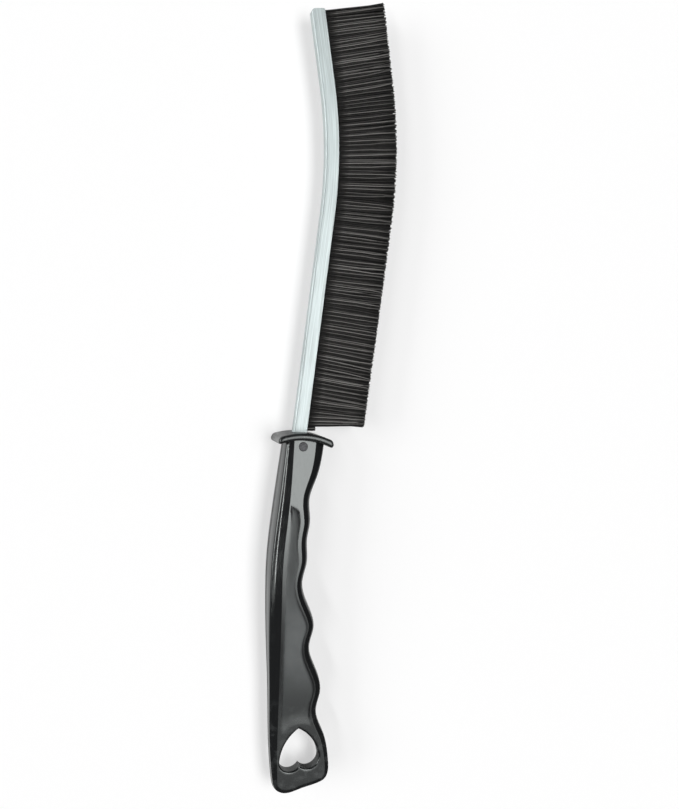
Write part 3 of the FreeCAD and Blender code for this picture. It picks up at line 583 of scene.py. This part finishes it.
def hollow_edge():
    """Outline drawn in by rim and margin from the hollow's start to the hang hole, closed by two arcs.

    With it comes the soft wall's width at every point of that edge."""
    on_spine = np.arange(len(outline)) < len(outline) // 2
    drop = -outline[:, 1]
    margin = np.where(on_spine, at_drop(SPINE_MARGIN, drop), at_drop(FINGER_MARGIN, drop))
    drawn = outline + outline_normals * (rim_widths + margin)[:, None]
    clear = (np.linalg.norm(drawn - RAMP_CENTRE, axis=1) > RAMP_RADIUS) & (drawn[:, 1] > RAMP_CENTRE[1])
    kept = clear & (drop >= np.where(on_spine, SPINE_START, FINGER_START))
    spine_side, finger_side = drawn[kept & on_spine], drawn[kept & ~on_spine]
    ends = [np.arctan2(*(point - RAMP_CENTRE)[::-1]) for point in (spine_side[-1], finger_side[0])]
    turn = np.linspace(*ends, 40)[1:-1]
    bottom = RAMP_CENTRE + RAMP_RADIUS * rays(turn)
    width = np.linalg.norm(spine_side[0] - finger_side[-1])
    share = np.linspace(0, 1, 19)[1:-1, None]
    rise = np.array([[0.0, START_RISE * width]])
    across = smooth_step(share)
    top = (1 - across) * finger_side[-1] + across * spine_side[0] + (share - share**2) * rise
    parts = [spine_side, bottom, finger_side, top]
    walls = [at_drop(SPINE_WALL, -spine_side[:, 1]), np.full(len(bottom), END_WALL),
             at_drop(FINGER_WALL, -finger_side[:, 1]), np.full(len(top), START_WALL)]
    return np.concatenate(parts), np.concatenate(walls)


# %% The hollow's depth
def inside(points, loop):
    """True for points inside a loop: a ray to the right crosses its edges an odd number of times."""
    start, end = loop, np.roll(loop, -1, axis=0)
    y = points[:, 1:2]
    crosses = (start[:, 1] > y) != (end[:, 1] > y)
    rise = np.where(end[:, 1] == start[:, 1], 1.0, end[:, 1] - start[:, 1])
    at = start[:, 0] + (y - start[:, 1]) * (end[:, 0] - start[:, 0]) / rise
    return np.count_nonzero(crosses & (points[:, 0:1] < at), axis=1) % 2 == 1


def hollow_share(places):
    """0 on the hollow's edge to 1 past its wall: a smooth step of the distance to the nearest edge."""
    along = np.roll(edge, -1, axis=0) - edge
    away = places[:, None, :] - edge
    at = np.clip((away * along).sum(axis=2) / (along**2).sum(axis=1), 0, 1)
    gap = np.linalg.norm(away - at[..., None] * along, axis=2)
    nearest = gap.argmin(axis=1)
    return smooth_step(gap.min(axis=1) / walls[nearest]) * inside(places, edge)


def end_ramp(places):
    """1 on the hollow's floor, easing to 0 towards the heart."""
    return smooth_step((np.linalg.norm(places - RAMP_CENTRE, axis=1) - RAMP_RADIUS) / RAMP_RUN)


def hollow_depth(places):
    """The floor's depth below the side face: a spline through the swell's knots, less on the ramp."""
    drops, _, depths = np.array(SWELL).T
    return spline_through(drops, depths, -places[:, 1]) * end_ramp(places)


edge, walls = hollow_edge()
edge_normals = inward_normals(edge, closed=True)
hollow_loops = [edge + edge_normals * (share * walls)[:, None] for share in np.linspace(0, 1, 5)]
print("hollow:", len(edge), "points round its edge, deepest", hollow_depth(edge).max().round(2), "mm")

# %% [markdown]
# The side face with its hollow is one height over the plane. Its points are the loops and an even
# grid between them, joined by a Delaunay triangulation that keeps the loops as edges.

# %% The side face
GRID_STEP = 0.5
GRID_CLEAR = 0.6 * GRID_STEP


def side_face():
    """Points, triangles and matte shares of the upper side face between the rim and the heart."""
    outer = rim[:, -1, :2]
    hole = heart[:, 0, :2]
    loops = [outer, hole, *hollow_loops]
    fixed = np.concatenate(loops)
    low, high = outer.min(axis=0), outer.max(axis=0)
    across, along = np.meshgrid(*(np.arange(first, last, GRID_STEP) for first, last in zip(low, high)))
    grid = np.stack([across.ravel(), along.ravel()], axis=1)
    grid = grid[inside(grid, outer) & ~inside(grid, hole)]
    gap = np.linalg.norm(grid[:, None, :] - fixed, axis=2).min(axis=1)
    grid = grid[gap > GRID_CLEAR]
    starts = np.cumsum([0] + [len(loop) for loop in loops])
    edges = [np.stack([np.arange(len(loop)), np.roll(np.arange(len(loop)), -1)], axis=1) + start
             for loop, start in zip(loops, starts)]
    flat = [Vector(point) for point in np.concatenate([fixed, grid])]
    made = delaunay_2d_cdt(flat, np.concatenate(edges).tolist(), [], 1, 1e-6)
    places = np.array([tuple(point) for point in made[0]])
    triangles = np.array(made[2])
    middles = places[triangles].mean(axis=1)
    kept = triangles[inside(middles, outer) & ~inside(middles, hole)]
    share = np.concatenate([hollow_share(block) for block in np.array_split(places, 8)])
    height = half_thickness(places[:, 1]) - share * hollow_depth(places)
    return np.column_stack([places, height]), kept, share * end_ramp(places)


face_points, face_triangles, face_matte = side_face()
print("side face:", len(face_triangles), "triangles")

# %% [markdown]
# One half is made above the parting plane and mirrored below it. Mirroring turns faces inside out,
# so the lower half's corners are listed the other way round. Then the halves are welded.

# %% The grip as one closed surface
def join_parts(parts):
    """All parts, whose faces count from their own first point, as one list of points and of faces."""
    points = [part.reshape(-1, 3) for part, _ in parts]
    starts = np.cumsum([0] + [len(part) for part in points])
    faces = []
    for start, (_, corners) in zip(starts, parts):
        faces += (corners + start).tolist()
    return np.concatenate(points), faces


def weld(piece, distance, close_holes=False):
    """Merges doubled points of a piece, closes its open loops and turns its faces outwards."""
    work = bmesh.new()
    work.from_mesh(piece.data)
    bmesh.ops.remove_doubles(work, verts=work.verts, dist=distance)
    if close_holes:
        open_edges = [edge for edge in work.edges if edge.is_boundary]
        bmesh.ops.holes_fill(work, edges=open_edges)
    bmesh.ops.recalc_face_normals(work, faces=work.faces)
    work.to_mesh(piece.data)
    work.free()


def grip_surface():
    """Rim and side face above the parting plane, mirrored below it, with the heart's wall.

    The matte values follow in the same order: only the two side faces have any."""
    parts = []
    for points, faces in ((rim, grid_faces(*rim.shape[:2])), (face_points, face_triangles)):
        parts += [(points, faces), (points * np.array([1, 1, -1]), faces[:, ::-1])]
    closed_heart = np.concatenate([heart, heart[:1]])
    parts.append((closed_heart, grid_faces(*closed_heart.shape[:2])))
    plain = np.zeros(2 * rim.shape[0] * rim.shape[1])
    matte = np.concatenate([plain, face_matte, face_matte, np.zeros(closed_heart.size // 3)])
    return *join_parts(parts), matte


# %% [markdown]
# The guard is a thin plate bent over a wide radius, with soft edges. A rounded rectangle is carried
# along it, drawn in towards both ends so that they are rounded too, and bent by moving each point
# from the flat plate onto circles about one centre.

# %% The guard
GUARD_RADIUS = 26.5
GUARD_PLACE = 2.1
GUARD_PLATE = 2.6
GUARD_BACK = 10.9
GUARD_FRONT = 9.7
GUARD_DEPTH = 15.4
GUARD_EDGE = 1.15
GUARD_MATTE = 0.45
GRIP_SHARP = 38


def rounded_rectangle(half_width, half_height, radius, corner_count):
    """Closed loop: four quarter circles about the corners of a smaller rectangle."""
    turn = np.linspace(0, np.pi / 2, corner_count)
    starts = np.arange(4) * np.pi / 2
    angle = (starts[:, None] + turn[None, :]).ravel()
    across = np.sign(np.cos(starts + np.pi / 4)).repeat(corner_count)
    upwards = np.sign(np.sin(starts + np.pi / 4)).repeat(corner_count)
    width = across * (half_width - radius) + radius * np.cos(angle)
    height = upwards * (half_height - radius) + radius * np.sin(angle)
    return np.stack([width, height], axis=1)


def guard_surface():
    """Rounded plate, bent: y is the height of a circle of that layer's radius over the plate's x."""
    near_ends = GUARD_EDGE * (1 - np.cos(np.linspace(0, np.pi / 2, 8)))
    left = -GUARD_BACK + near_ends
    right = GUARD_FRONT - near_ends[::-1]
    run = np.concatenate([left, np.linspace(left[-1], right[0], 40)[1:-1], right])
    reach = np.maximum(np.maximum(-GUARD_BACK + GUARD_EDGE - run, run - GUARD_FRONT + GUARD_EDGE), 0.0)
    draw_in = GUARD_EDGE - np.sqrt(np.maximum(GUARD_EDGE**2 - reach**2, 0.0))
    loop = rounded_rectangle(GUARD_PLATE / 2, GUARD_DEPTH / 2, GUARD_EDGE, 7)
    half = np.array([GUARD_PLATE / 2, GUARD_DEPTH / 2])
    scale = (half[None, :] - draw_in[:, None]) / half[None, :]
    section = loop[None, :, :] * scale[:, None, :]
    layer = GUARD_RADIUS - GUARD_PLATE / 2 + section[..., 0]
    x = np.broadcast_to(run[:, None], layer.shape)
    y = np.sqrt(layer**2 - x**2) - GUARD_RADIUS
    return np.stack([GUARD_PLACE + x, y, section[..., 1]], axis=-1)


# %% Grip and guard as pieces
grip_points, grip_faces, grip_matte = grip_surface()
grip = make_piece("grip_moulding", grip_points, grip_faces, PLASTIC, smooth_angle=GRIP_SHARP)
store_values(grip, "matte", grip_matte)
weld(grip, 0.002 * MM, close_holes=True)
guard_grid = guard_surface()
guard = make_piece("guard_plate", guard_grid,
                   grid_faces(*guard_grid.shape[:2], wrap=True), PLASTIC, smooth_angle=GRIP_SHARP)
store_values(guard, "matte", np.full(len(guard.data.vertices), GUARD_MATTE))
weld(guard, 0.002 * MM, close_holes=True)
for piece in (grip, guard):
    piece.data.set_sharp_from_angle(angle=np.radians(GRIP_SHARP))
    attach(piece, "root")
    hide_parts("handle")
print("grip:", len(grip.data.polygons), "faces, guard:", len(guard.data.polygons), "faces")

# %% [markdown]
# ## The strip
# The strip is sheet folded to a channel and bent near the toe. Its profile is one closed loop with
# round folds at the back and soft lips, carried along a straight, an arc and a straight. Its toe is
# cut off with round corners. Where the lips are pinched on the filaments the press leaves a row of
# small dents.

# %% The strip's path
HEEL_RUN = 81.0
BEND_RADIUS = 166.0
BEND_TURN = np.radians(15.8)
TOE_RUN = 25.8
STRIP_LENGTH = HEEL_RUN + BEND_RADIUS * BEND_TURN + TOE_RUN


def station(run):
    """Points on the strip's centre line and headings there: straight, arc about a hub, straight."""
    past = np.asarray(run, float) - HEEL_RUN
    angle = np.clip(past / BEND_RADIUS, 0.0, BEND_TURN)
    hub = np.array([-BEND_RADIUS, HEEL_RUN])
    heading = np.stack([-np.sin(angle), np.cos(angle)], axis=-1)
    straight = np.minimum(past, 0.0) + np.maximum(past - BEND_RADIUS * BEND_TURN, 0.0)
    return hub + rays(angle) * BEND_RADIUS + heading * straight[..., None], angle


# %% The strip's profile
SHEET = 0.5
FOLD = 0.9


def channel_profile():
    """Closed loop of the channel: (distance out, z), round folds outside and inside, soft lips."""
    half = STRIP_THICKNESS / 2
    back = -STRIP_DEPTH / 2
    lips = STRIP_DEPTH / 2
    soft = SHEET * 0.45
    quarter = np.linspace(0, np.pi / 2, 7)
    cheek = np.linspace(lips - 2 * soft, back + FOLD, 12)
    lip_turn = np.linspace(-np.pi / 2, np.pi / 2, 9)
    lip_round = np.stack([lips - soft + soft * np.cos(lip_turn),
                          half - SHEET / 2 + SHEET / 2 * np.sin(lip_turn)], axis=1)
    outside = np.stack([cheek, np.full(12, half)], axis=1)
    fold, inner_fold = (np.stack([back + FOLD - radius * np.sin(quarter),
                                  half - FOLD + radius * np.cos(quarter)], axis=1)
                        for radius in (FOLD, FOLD - SHEET))
    upper = np.concatenate([lip_round, outside, fold[1:]])
    mirror = np.array([1.0, -1.0])
    return np.concatenate([upper, upper[::-1] * mirror, inner_fold * mirror, inner_fold[::-1]])


# %% The strip's surface
BACK_CORNER = 1.5
LIP_CORNER = 0.8
TOE_ZONE = 4.0
DENT_PITCH = 1.1
DENT_DEPTH = 0.08
DENT_INSET = 0.6
DENT_WIDTH = 0.28
DENT_SHARE = 0.2
STRIP_STEP = 0.2


def toe_cut(distance):
    """How far the rounded toe falls short: a circle's sagitta at the back corner and at the lips."""
    short = np.zeros_like(distance)
    corners = (BACK_CORNER, distance + STRIP_DEPTH / 2), (LIP_CORNER, STRIP_DEPTH / 2 - distance)
    for radius, way in corners:
        reach = np.clip(radius - way, 0.0, radius)
        short = short + radius - np.sqrt(radius**2 - reach**2)
    return short


def strip_surface():
    """Profile carried along the strip, drawn back at the toe's corners, with dents beside the lips."""
    rows = np.arange(-TANG_LENGTH + STRIP_STEP, STRIP_LENGTH, STRIP_STEP)
    profile = channel_profile()
    distance = np.broadcast_to(profile[:, 0], (len(rows), len(profile)))
    height = np.broadcast_to(profile[:, 1], distance.shape)
    near_toe = np.clip((rows - STRIP_LENGTH + TOE_ZONE) / TOE_ZONE, 0.0, 1.0)
    run = rows[:, None] - toe_cut(profile[:, 0]) * near_toe[:, None]
    centre, angle = station(run)
    dent_row = np.exp(-((distance - (STRIP_DEPTH / 2 - DENT_INSET)) / DENT_WIDTH) ** 2)
    dents = np.exp(-((np.mod(run, DENT_PITCH) / DENT_PITCH - 0.5) / DENT_SHARE) ** 2)
    outer = np.abs(height) > STRIP_THICKNESS / 2 - 0.02
    height = height - np.sign(height) * outer * dent_row * dents * DENT_DEPTH
    flat = centre + rays(angle) * distance[..., None]
    points = np.concatenate([flat, height[..., None]], axis=2)
    around = np.concatenate([[0], np.cumsum(np.linalg.norm(np.diff(profile, axis=0), axis=1))])
    lay = np.stack(np.broadcast_arrays(run, around[None, :], 0.0), axis=-1)
    return points, lay


def end_caps(rows, columns):
    """First and last loop of a grid as two faces."""
    return [list(range(columns)), list(range((rows - 1) * columns, rows * columns))[::-1]]


strip_grid, strip_lay = strip_surface()
strip_faces = grid_faces(*strip_grid.shape[:2], wrap=True).tolist() + end_caps(*strip_grid.shape[:2])
strip = make_piece("steel_strip", strip_grid, strip_faces, STEEL, smooth_angle=40)
store_values(strip, "lay", strip_lay)
weld(strip, 0.0001 * MM)
strip.data.set_sharp_from_angle(angle=np.radians(40))
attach(strip, "root")
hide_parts("strip_channel")
print("strip:", len(strip.data.polygons), "faces")

# %% [markdown]
# ## The filaments
# Thousands of filaments are folded over the core wire and fan out between the lips. Each visible leg
# is a thin square tube along a line that flares outwards, leans as the bunch was set, and strays a
# little. Dark filling lies deep and is painted darker as painted shade, and lighter strands lie apart
# on both faces. All legs of a bundle are worked out as one array, and a seeded generator gives every
# run the same brush.

# %% Filament lines
LIPS = STRIP_DEPTH / 2
WIRE_PLACE = -STRIP_DEPTH / 2 + STRIP_THICKNESS / 2
HEEL_BRISTLE = 21.6
TOE_BRISTLE = 22.7
ROOT_INSIDE = 1.6
WAVES = 1.3
LEAN = [(1.8, 7.0), (9.0, 0.0), (18.0, -3.0), (30.0, -2.2), (42.0, 0.0), (60.0, 2.5), (75.0, 4.2),
        (95.0, 5.8), (115.0, 6.2), (135.0, 5.6), (152.3, 3.6)]
STEPS = 7


def free_length(run):
    """Trimmed length beyond the lips, a little longer at the toe."""
    return HEEL_BRISTLE + (TOE_BRISTLE - HEEL_BRISTLE) * run / STRIP_LENGTH


def splay(run):
    """Lean of the filaments towards the toe: a spline through angles read along the field."""
    return np.radians(spline_through(*np.array(LEAN).T, run))


def filament_lines(run, length, root, tip, stray, wave, phase):
    """Points (filaments, steps, 3): out along the leaned ray, z flaring from root to tip.

    The stray grows with the square of the way out, and a slow wave is added along the strip."""
    share = np.linspace(0, 1, STEPS)**1.3
    out = (LIPS - ROOT_INSIDE) + share * (length[:, None] + ROOT_INSIDE)
    free = np.maximum(out - LIPS, 0.0) / length[:, None]
    height = root[:, None] + (tip - root)[:, None] * free**1.1
    swing = 2 * np.pi * (free * WAVES + phase[:, None])
    sway = stray[:, None] * free**2 + wave[:, None] * np.sin(swing) * free
    centre, angle = station(run)
    lean = angle + splay(run)
    along = np.stack([-np.sin(lean), np.cos(lean)], axis=-1)
    wire = centre + rays(angle) * WIRE_PLACE
    flat = wire[:, None, :] + rays(lean)[:, None, :] * (out - WIRE_PLACE)[..., None]
    flat = flat + along[:, None, :] * sway[..., None]
    return np.concatenate([flat, height[..., None]], axis=2)


def tubes(lines, thickness, twist):
    """Square tubes along lines: four corners about each point, by the filament's thickness and twist."""
    count, steps, _ = lines.shape
    ahead = np.gradient(lines, axis=1)
    ahead /= np.linalg.norm(ahead, axis=2, keepdims=True)
    upright = np.broadcast_to(np.array([0.0, 0.0, 1.0]), ahead.shape)
    side = np.cross(ahead, upright)
    side /= np.linalg.norm(side, axis=2, keepdims=True)
    normal = np.cross(side, ahead)
    corner = np.arange(4) * np.pi / 2 + twist[:, None]
    reach = thickness[:, None, None, None] / np.sqrt(2)
    offset = (side[:, :, None, :] * np.cos(corner)[:, None, :, None]
              + normal[:, :, None, :] * np.sin(corner)[:, None, :, None]) * reach
    points = lines[:, :, None, :] + offset
    one = np.concatenate([grid_faces(steps, 4, wrap=True), [[3, 2, 1, 0]],
                          np.arange(4)[None, :] + 4 * (steps - 1)])
    starts = np.arange(count)[:, None, None] * steps * 4
    return points.reshape(-1, 3), (one[None, :, :] + starts).reshape(-1, 4)


# %% [markdown]
# Each bundle is one piece, so that it stands for its own solid. Hair curves could look the same, but
# an exported piece needs faces.

# %% Forty bundles and the trimmed stub
BUNDLES = 40
FILLING = 70
STRANDS = 12
FIELD_START = 1.8
FIELD_MARGIN = 0.75
ROOT_HALF = 1.0
TIP_HALF = 2.3
FILAMENT = 0.36
STRAND = 0.3
SHADE_STEP = 0.309
STRAY = 0.35
STUB_LENGTH = 3.2
# Painted shade: each filament's shade value is lowered towards its root by the lips.
ROOT_PAINTED_SHADE = np.minimum(0.1 + 0.45 * np.arange(STEPS), 1.0)


def filament_piece(name, node, rng, first, last, filling, strands, lengths, tip_half, stray):
    """One piece of filaments between two runs along the strip, standing for a bundle's solid.

    The dark filling lies inside and gets a low shade value as painted shade, and lighter strands lie
    apart on both faces of the bristle, with shades in even steps so that neighbours on a face differ.
    Every shade is painted darker towards the root, as painted shade by the lips."""
    count = filling + strands
    order = np.concatenate([np.arange(filling) / filling, np.arange(strands) / strands])
    loose = rng.uniform(0.2, 0.8, count) / np.repeat([filling, strands], [filling, strands])
    run = first + (last - first) * (order + loose)
    outer = np.arange(count) >= filling
    side = np.where(np.arange(count) % 2 == 0, 1.0, -1.0)
    spread = np.where(outer, rng.uniform(0.9, 1.0, count), rng.uniform(0.05, 0.72, count))
    length = lengths(run) - np.abs(rng.normal(0, 0.12, count)) - 0.05
    lines = filament_lines(run, length, side * spread * ROOT_HALF, side * spread * tip_half,
                           rng.normal(0, stray, count), rng.normal(0, 0.12, count), rng.random(count))
    points, faces = tubes(lines, np.where(outer, STRAND, FILAMENT), rng.random(count) * np.pi)
    piece = make_piece(name, points, faces, NYLON, smooth_angle=95)
    # The deep filling gets a low shade value, painted shade between the lighter strands.
    turn = (np.arange(count) * SHADE_STEP + rng.random()) % 1.0
    light = 0.2 + 0.66 * turn + rng.uniform(0.0, 0.1, count)
    shade = np.where(outer, light, rng.uniform(0.0, 0.3, count))
    store_values(piece, "shade", np.repeat(shade[:, None] * ROOT_PAINTED_SHADE, 4, axis=1))
    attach(piece, "root")
    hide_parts(node)
    return piece


rng = np.random.default_rng(7)
pitch = (STRIP_LENGTH - FIELD_MARGIN - FIELD_START) / BUNDLES
for number in range(BUNDLES):
    first = FIELD_START + pitch * number
    filament_piece(f"filaments_{number + 1:02d}", f"bristle_bundle_{number + 1:02d}", rng,
                   first, first + pitch, FILLING, STRANDS, free_length, TIP_HALF, STRAY)
filament_piece("filaments_stub", "bristle_stub", rng, 0.2, 1.5, 20, 4,
               lambda run: np.full(len(run), STUB_LENGTH), 1.35, 0.1)
print("filaments:", BUNDLES * (FILLING + STRANDS))

# %% [markdown]
# ## Rivet and core wire
# The rivet's flat head shows as a grey disc in the panel. It is a turned profile: a crown that is
# almost flat, a rounded edge and a short side. The core wire stays inside the channel as its solid.

# %% The rivet
RIVET_AXIS = np.array([0.9, -5.0])
RIVET_HEAD = 1.75
RIVET_EDGE = 0.4


def rivet_surface():
    """A profile of (radius, height) turned about the rivet's axis, above the grip and below it."""
    swing = np.linspace(0, np.pi / 2, 6)[1:]
    flat = RIVET_HEAD - RIVET_EDGE
    radius = np.concatenate([np.linspace(0.0, flat, 7), flat + RIVET_EDGE * np.sin(swing)])
    crown = np.concatenate([0.25 - 0.04 * np.linspace(0, 1, 7)**2,
                            0.21 - RIVET_EDGE * (1 - np.cos(swing))])
    radius = np.concatenate([radius, radius[::-1]])
    side = np.repeat([1, -1], len(crown))
    turn = np.linspace(0, 2 * np.pi, 49)[:-1]
    x = RIVET_AXIS[0] + radius[:, None] * np.cos(turn)
    y = RIVET_AXIS[1] + radius[:, None] * np.sin(turn)
    z = side[:, None] * (half_thickness(y) + np.concatenate([crown, crown[::-1]])[:, None])
    lay = np.stack(np.broadcast_arrays(30.0 * x, 0.6 * y, 0.0), axis=-1)
    return np.stack([x, y, z], axis=-1), lay


RIVET_STEEL = galvanised_steel("rivet_steel", (0.05, 0.051, 0.054), 0.4, 0.6, (0.4, 1.7), 0.5)
rivet_grid, rivet_lay = rivet_surface()
rivet = make_piece("rivet_heads", rivet_grid,
                   grid_faces(*rivet_grid.shape[:2], wrap=True), RIVET_STEEL, smooth_angle=35)
store_values(rivet, "lay", rivet_lay)
weld(rivet, 0.001 * MM)
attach(rivet, "root")
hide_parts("rivet")
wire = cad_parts["core_wire"]
wire.data.materials.clear()
wire.data.materials.append(WIRE_STEEL)
print("rivet:", len(rivet.data.polygons), "faces")

# %% [markdown]
# ## Studio
# The brush lies on white. A long soft light hangs overhead, a little towards the filament side, and
# is brightest in the middle: it is what the grip's flat panel mirrors. On the other side a narrow
# slanting strip and a broad low one draw the two lines along the spine's bevels. All are painted on
# the sky with soft edges. The floor keeps the shadow. For reflections alone the floor also has a
# painted contact shadow beneath the grip, and beside the spine a painted white glow that lights the
# spine's wall in reflection.

# %% Soft edges and mixes for lights
WHITE = (1.0, 1.0, 1.0, 1.0)


def soft_window(tree, value, centre, half, edge):
    """1 within half of the centre, falling smoothly to 0 over edge."""
    away = combine(tree, "ABSOLUTE", combine(tree, "SUBTRACT", value, centre))
    return soft_step(tree, away, half + edge, half)


def mix_shaders(tree, share, first, second):
    """The first shader with a share of the second."""
    mix = tree.nodes.new("ShaderNodeMixShader")
    feed(tree, mix, {0: share, 1: first, 2: second})
    return mix.outputs["Shader"]


# %% Floor
FLOOR_HALF = 3.0
WHITE_SHARE = 0.5
# Strength of the painted glow beside the spine that only reflections see.
REFLECTED_GLOW = 0.55
GLOW_NEAR = (3 * MM, 6 * MM)
GLOW_FAR = (45 * MM, 8 * MM)
GRIP_ALONG = (-80 * MM, 64 * MM, 20 * MM)
CONTACT_SHADOW_ACROSS = (-12 * MM, 14.5 * MM, 3 * MM)
SPINE_X = -12.3 * MM
SPINE_TURN_Y = -63.8 * MM
SPINE_SLOPE = 0.17


def floor_finish():
    """White board, in part its own white for camera and reflections, so that it keeps a soft shadow.

    The painted glow and the painted contact shadow are windows of the distance from the spine's line,
    straight, then slanting."""
    finish, tree, shader = new_finish("white_board", (0.93, 0.93, 0.93), 0.9)
    path = tree.nodes.new("ShaderNodeLightPath").outputs
    x, y, _ = split_place(tree, coordinate(tree))
    slant = combine(tree, "MAXIMUM", combine(tree, "SUBTRACT", SPINE_TURN_Y, y), 0.0)
    spine = combine(tree, "ADD", product(tree, slant, SPINE_SLOPE), SPINE_X)
    away = combine(tree, "SUBTRACT", spine, x)
    beside = soft_window(tree, y, *GRIP_ALONG)
    # Painted reflection: a glow beside the spine that only reflections see.
    glow_window = product(tree, soft_step(tree, away, *GLOW_NEAR), soft_step(tree, away, *GLOW_FAR), beside)
    # Painted shadow: reflections see the floor dark beneath the grip, as a contact shadow.
    painted_contact_shadow = product(tree, soft_window(tree, away, *CONTACT_SHADOW_ACROSS), beside)
    mirrored = combine(tree, "MAXIMUM", path["Is Glossy Ray"], path["Is Transmission Ray"])
    mirrored = product(tree, mirrored, combine(tree, "SUBTRACT", 1.0, painted_contact_shadow))
    seen = combine(tree, "MAXIMUM", path["Is Camera Ray"], mirrored)
    white = add_node(tree, "ShaderNodeEmission", Color=WHITE)
    glow = add_node(tree, "ShaderNodeEmission", Color=WHITE,
                    Strength=product(tree, glow_window, mirrored, REFLECTED_GLOW))
    board = mix_shaders(tree, product(tree, seen, WHITE_SHARE), shader.outputs["BSDF"],
                        white.outputs["Emission"])
    both = tree.nodes.new("ShaderNodeAddShader")
    feed(tree, both, {0: board, 1: glow.outputs["Emission"]})
    feed(tree, tree.nodes["Material Output"], {"Surface": both.outputs["Shader"]})
    return finish


corners = np.array([[-1, -1, 0], [1, -1, 0], [1, 1, 0], [-1, 1, 0]]) * FLOOR_HALF / MM
floor = make_piece("white_floor", corners - ORIGIN, [[0, 1, 2, 3]], floor_finish())
print("floor:", 2 * FLOOR_HALF, "m wide")

# %% [markdown]
# Lamps have hard edges in a mirror. On the sky a light is a soft window instead, placed where a
# direction meets a ceiling one unit high.

# %% Sky with soft lights
# Places on the ceiling plane: centre, half width and soft edge, or where a fade starts and ends.
KEY_LEVEL = 9.5
KEY_ACROSS = (0.37, 0.2, 0.08)
KEY_BUTT_FADE = (-0.69, -0.05)
KEY_TOE_FADE = (0.75, 0.1)
LINE_LEVEL = 20.0
LINE_SLANT = 0.75
LINE_ACROSS = (-1.03, 0.05, 0.05)
LINE_ALONG = (-0.05, 0.47, 0.07)
LOW_LINE_LEVEL = 9.0
LOW_LINE_ACROSS = (-3.8, 2.0, 0.2)
LOW_LINE_ALONG = (0.0, 0.9, 0.4)
SKY_LEVEL = 0.05
HORIZON = 0.02


def studio_sky():
    """Sky seen on a ceiling plane: u and v are the direction's x and y over its height."""
    world = bpy.data.worlds.new("studio")
    world.use_nodes = True
    tree = world.node_tree
    tree.nodes.clear()
    x, y, z = split_place(tree, coordinate(tree, "Generated"))
    height = combine(tree, "MAXIMUM", z, HORIZON)
    u = combine(tree, "DIVIDE", x, height)
    v = combine(tree, "DIVIDE", y, height)
    key = product(tree, soft_window(tree, u, *KEY_ACROSS), soft_step(tree, v, *KEY_BUTT_FADE),
                  soft_step(tree, v, *KEY_TOE_FADE))
    slant = combine(tree, "ADD", u, product(tree, v, LINE_SLANT))
    line = product(tree, soft_window(tree, slant, *LINE_ACROSS), soft_window(tree, v, *LINE_ALONG))
    low_line = product(tree, soft_window(tree, u, *LOW_LINE_ACROSS),
                       soft_window(tree, v, *LOW_LINE_ALONG))
    total = SKY_LEVEL
    for light, level in ((key, KEY_LEVEL), (line, LINE_LEVEL), (low_line, LOW_LINE_LEVEL)):
        total = combine(tree, "ADD", product(tree, light, level), total)
    lights = add_node(tree, "ShaderNodeBackground", Strength=total)
    white = add_node(tree, "ShaderNodeBackground", Color=WHITE)
    seen = tree.nodes.new("ShaderNodeLightPath").outputs["Is Camera Ray"]
    sky = mix_shaders(tree, seen, lights.outputs["Background"], white.outputs["Background"])
    add_node(tree, "ShaderNodeOutputWorld", Surface=sky)
    bpy.context.scene.world = world


studio_sky()
print("sky:", bpy.context.scene.world.name)

# %% [markdown]
# ## Camera
# The view is from above, a little over the spine, with the toe up. The lens follows from the frame:
# the long side of the picture is as wide as the sensor.

# %% Camera
CAMERA_AT = Vector((-73.16, 6.01, 269.7)) * MM
AIM = Vector((7.89, -0.13, 7.7)) * MM
UP = Vector((-0.1161, 0.9915, -0.0591))
LENS = 32.71
SENSOR = 36.0

lens = bpy.data.cameras.new("view")
lens.lens = LENS
lens.sensor_width = SENSOR
lens.clip_start = 0.01
camera = bpy.data.objects.new("view", lens)
backwards = (CAMERA_AT - AIM).normalized()
right = UP.cross(backwards).normalized()
upwards = backwards.cross(right)
turn = Matrix((right, upwards, backwards)).transposed().to_4x4()
camera.matrix_world = Matrix.Translation(CAMERA_AT) @ turn
bpy.context.scene.collection.objects.link(camera)
bpy.context.scene.camera = camera
bpy.context.scene.view_settings.view_transform = "Standard"
print("camera:", round((CAMERA_AT - AIM).length / MM), "mm from the brush")
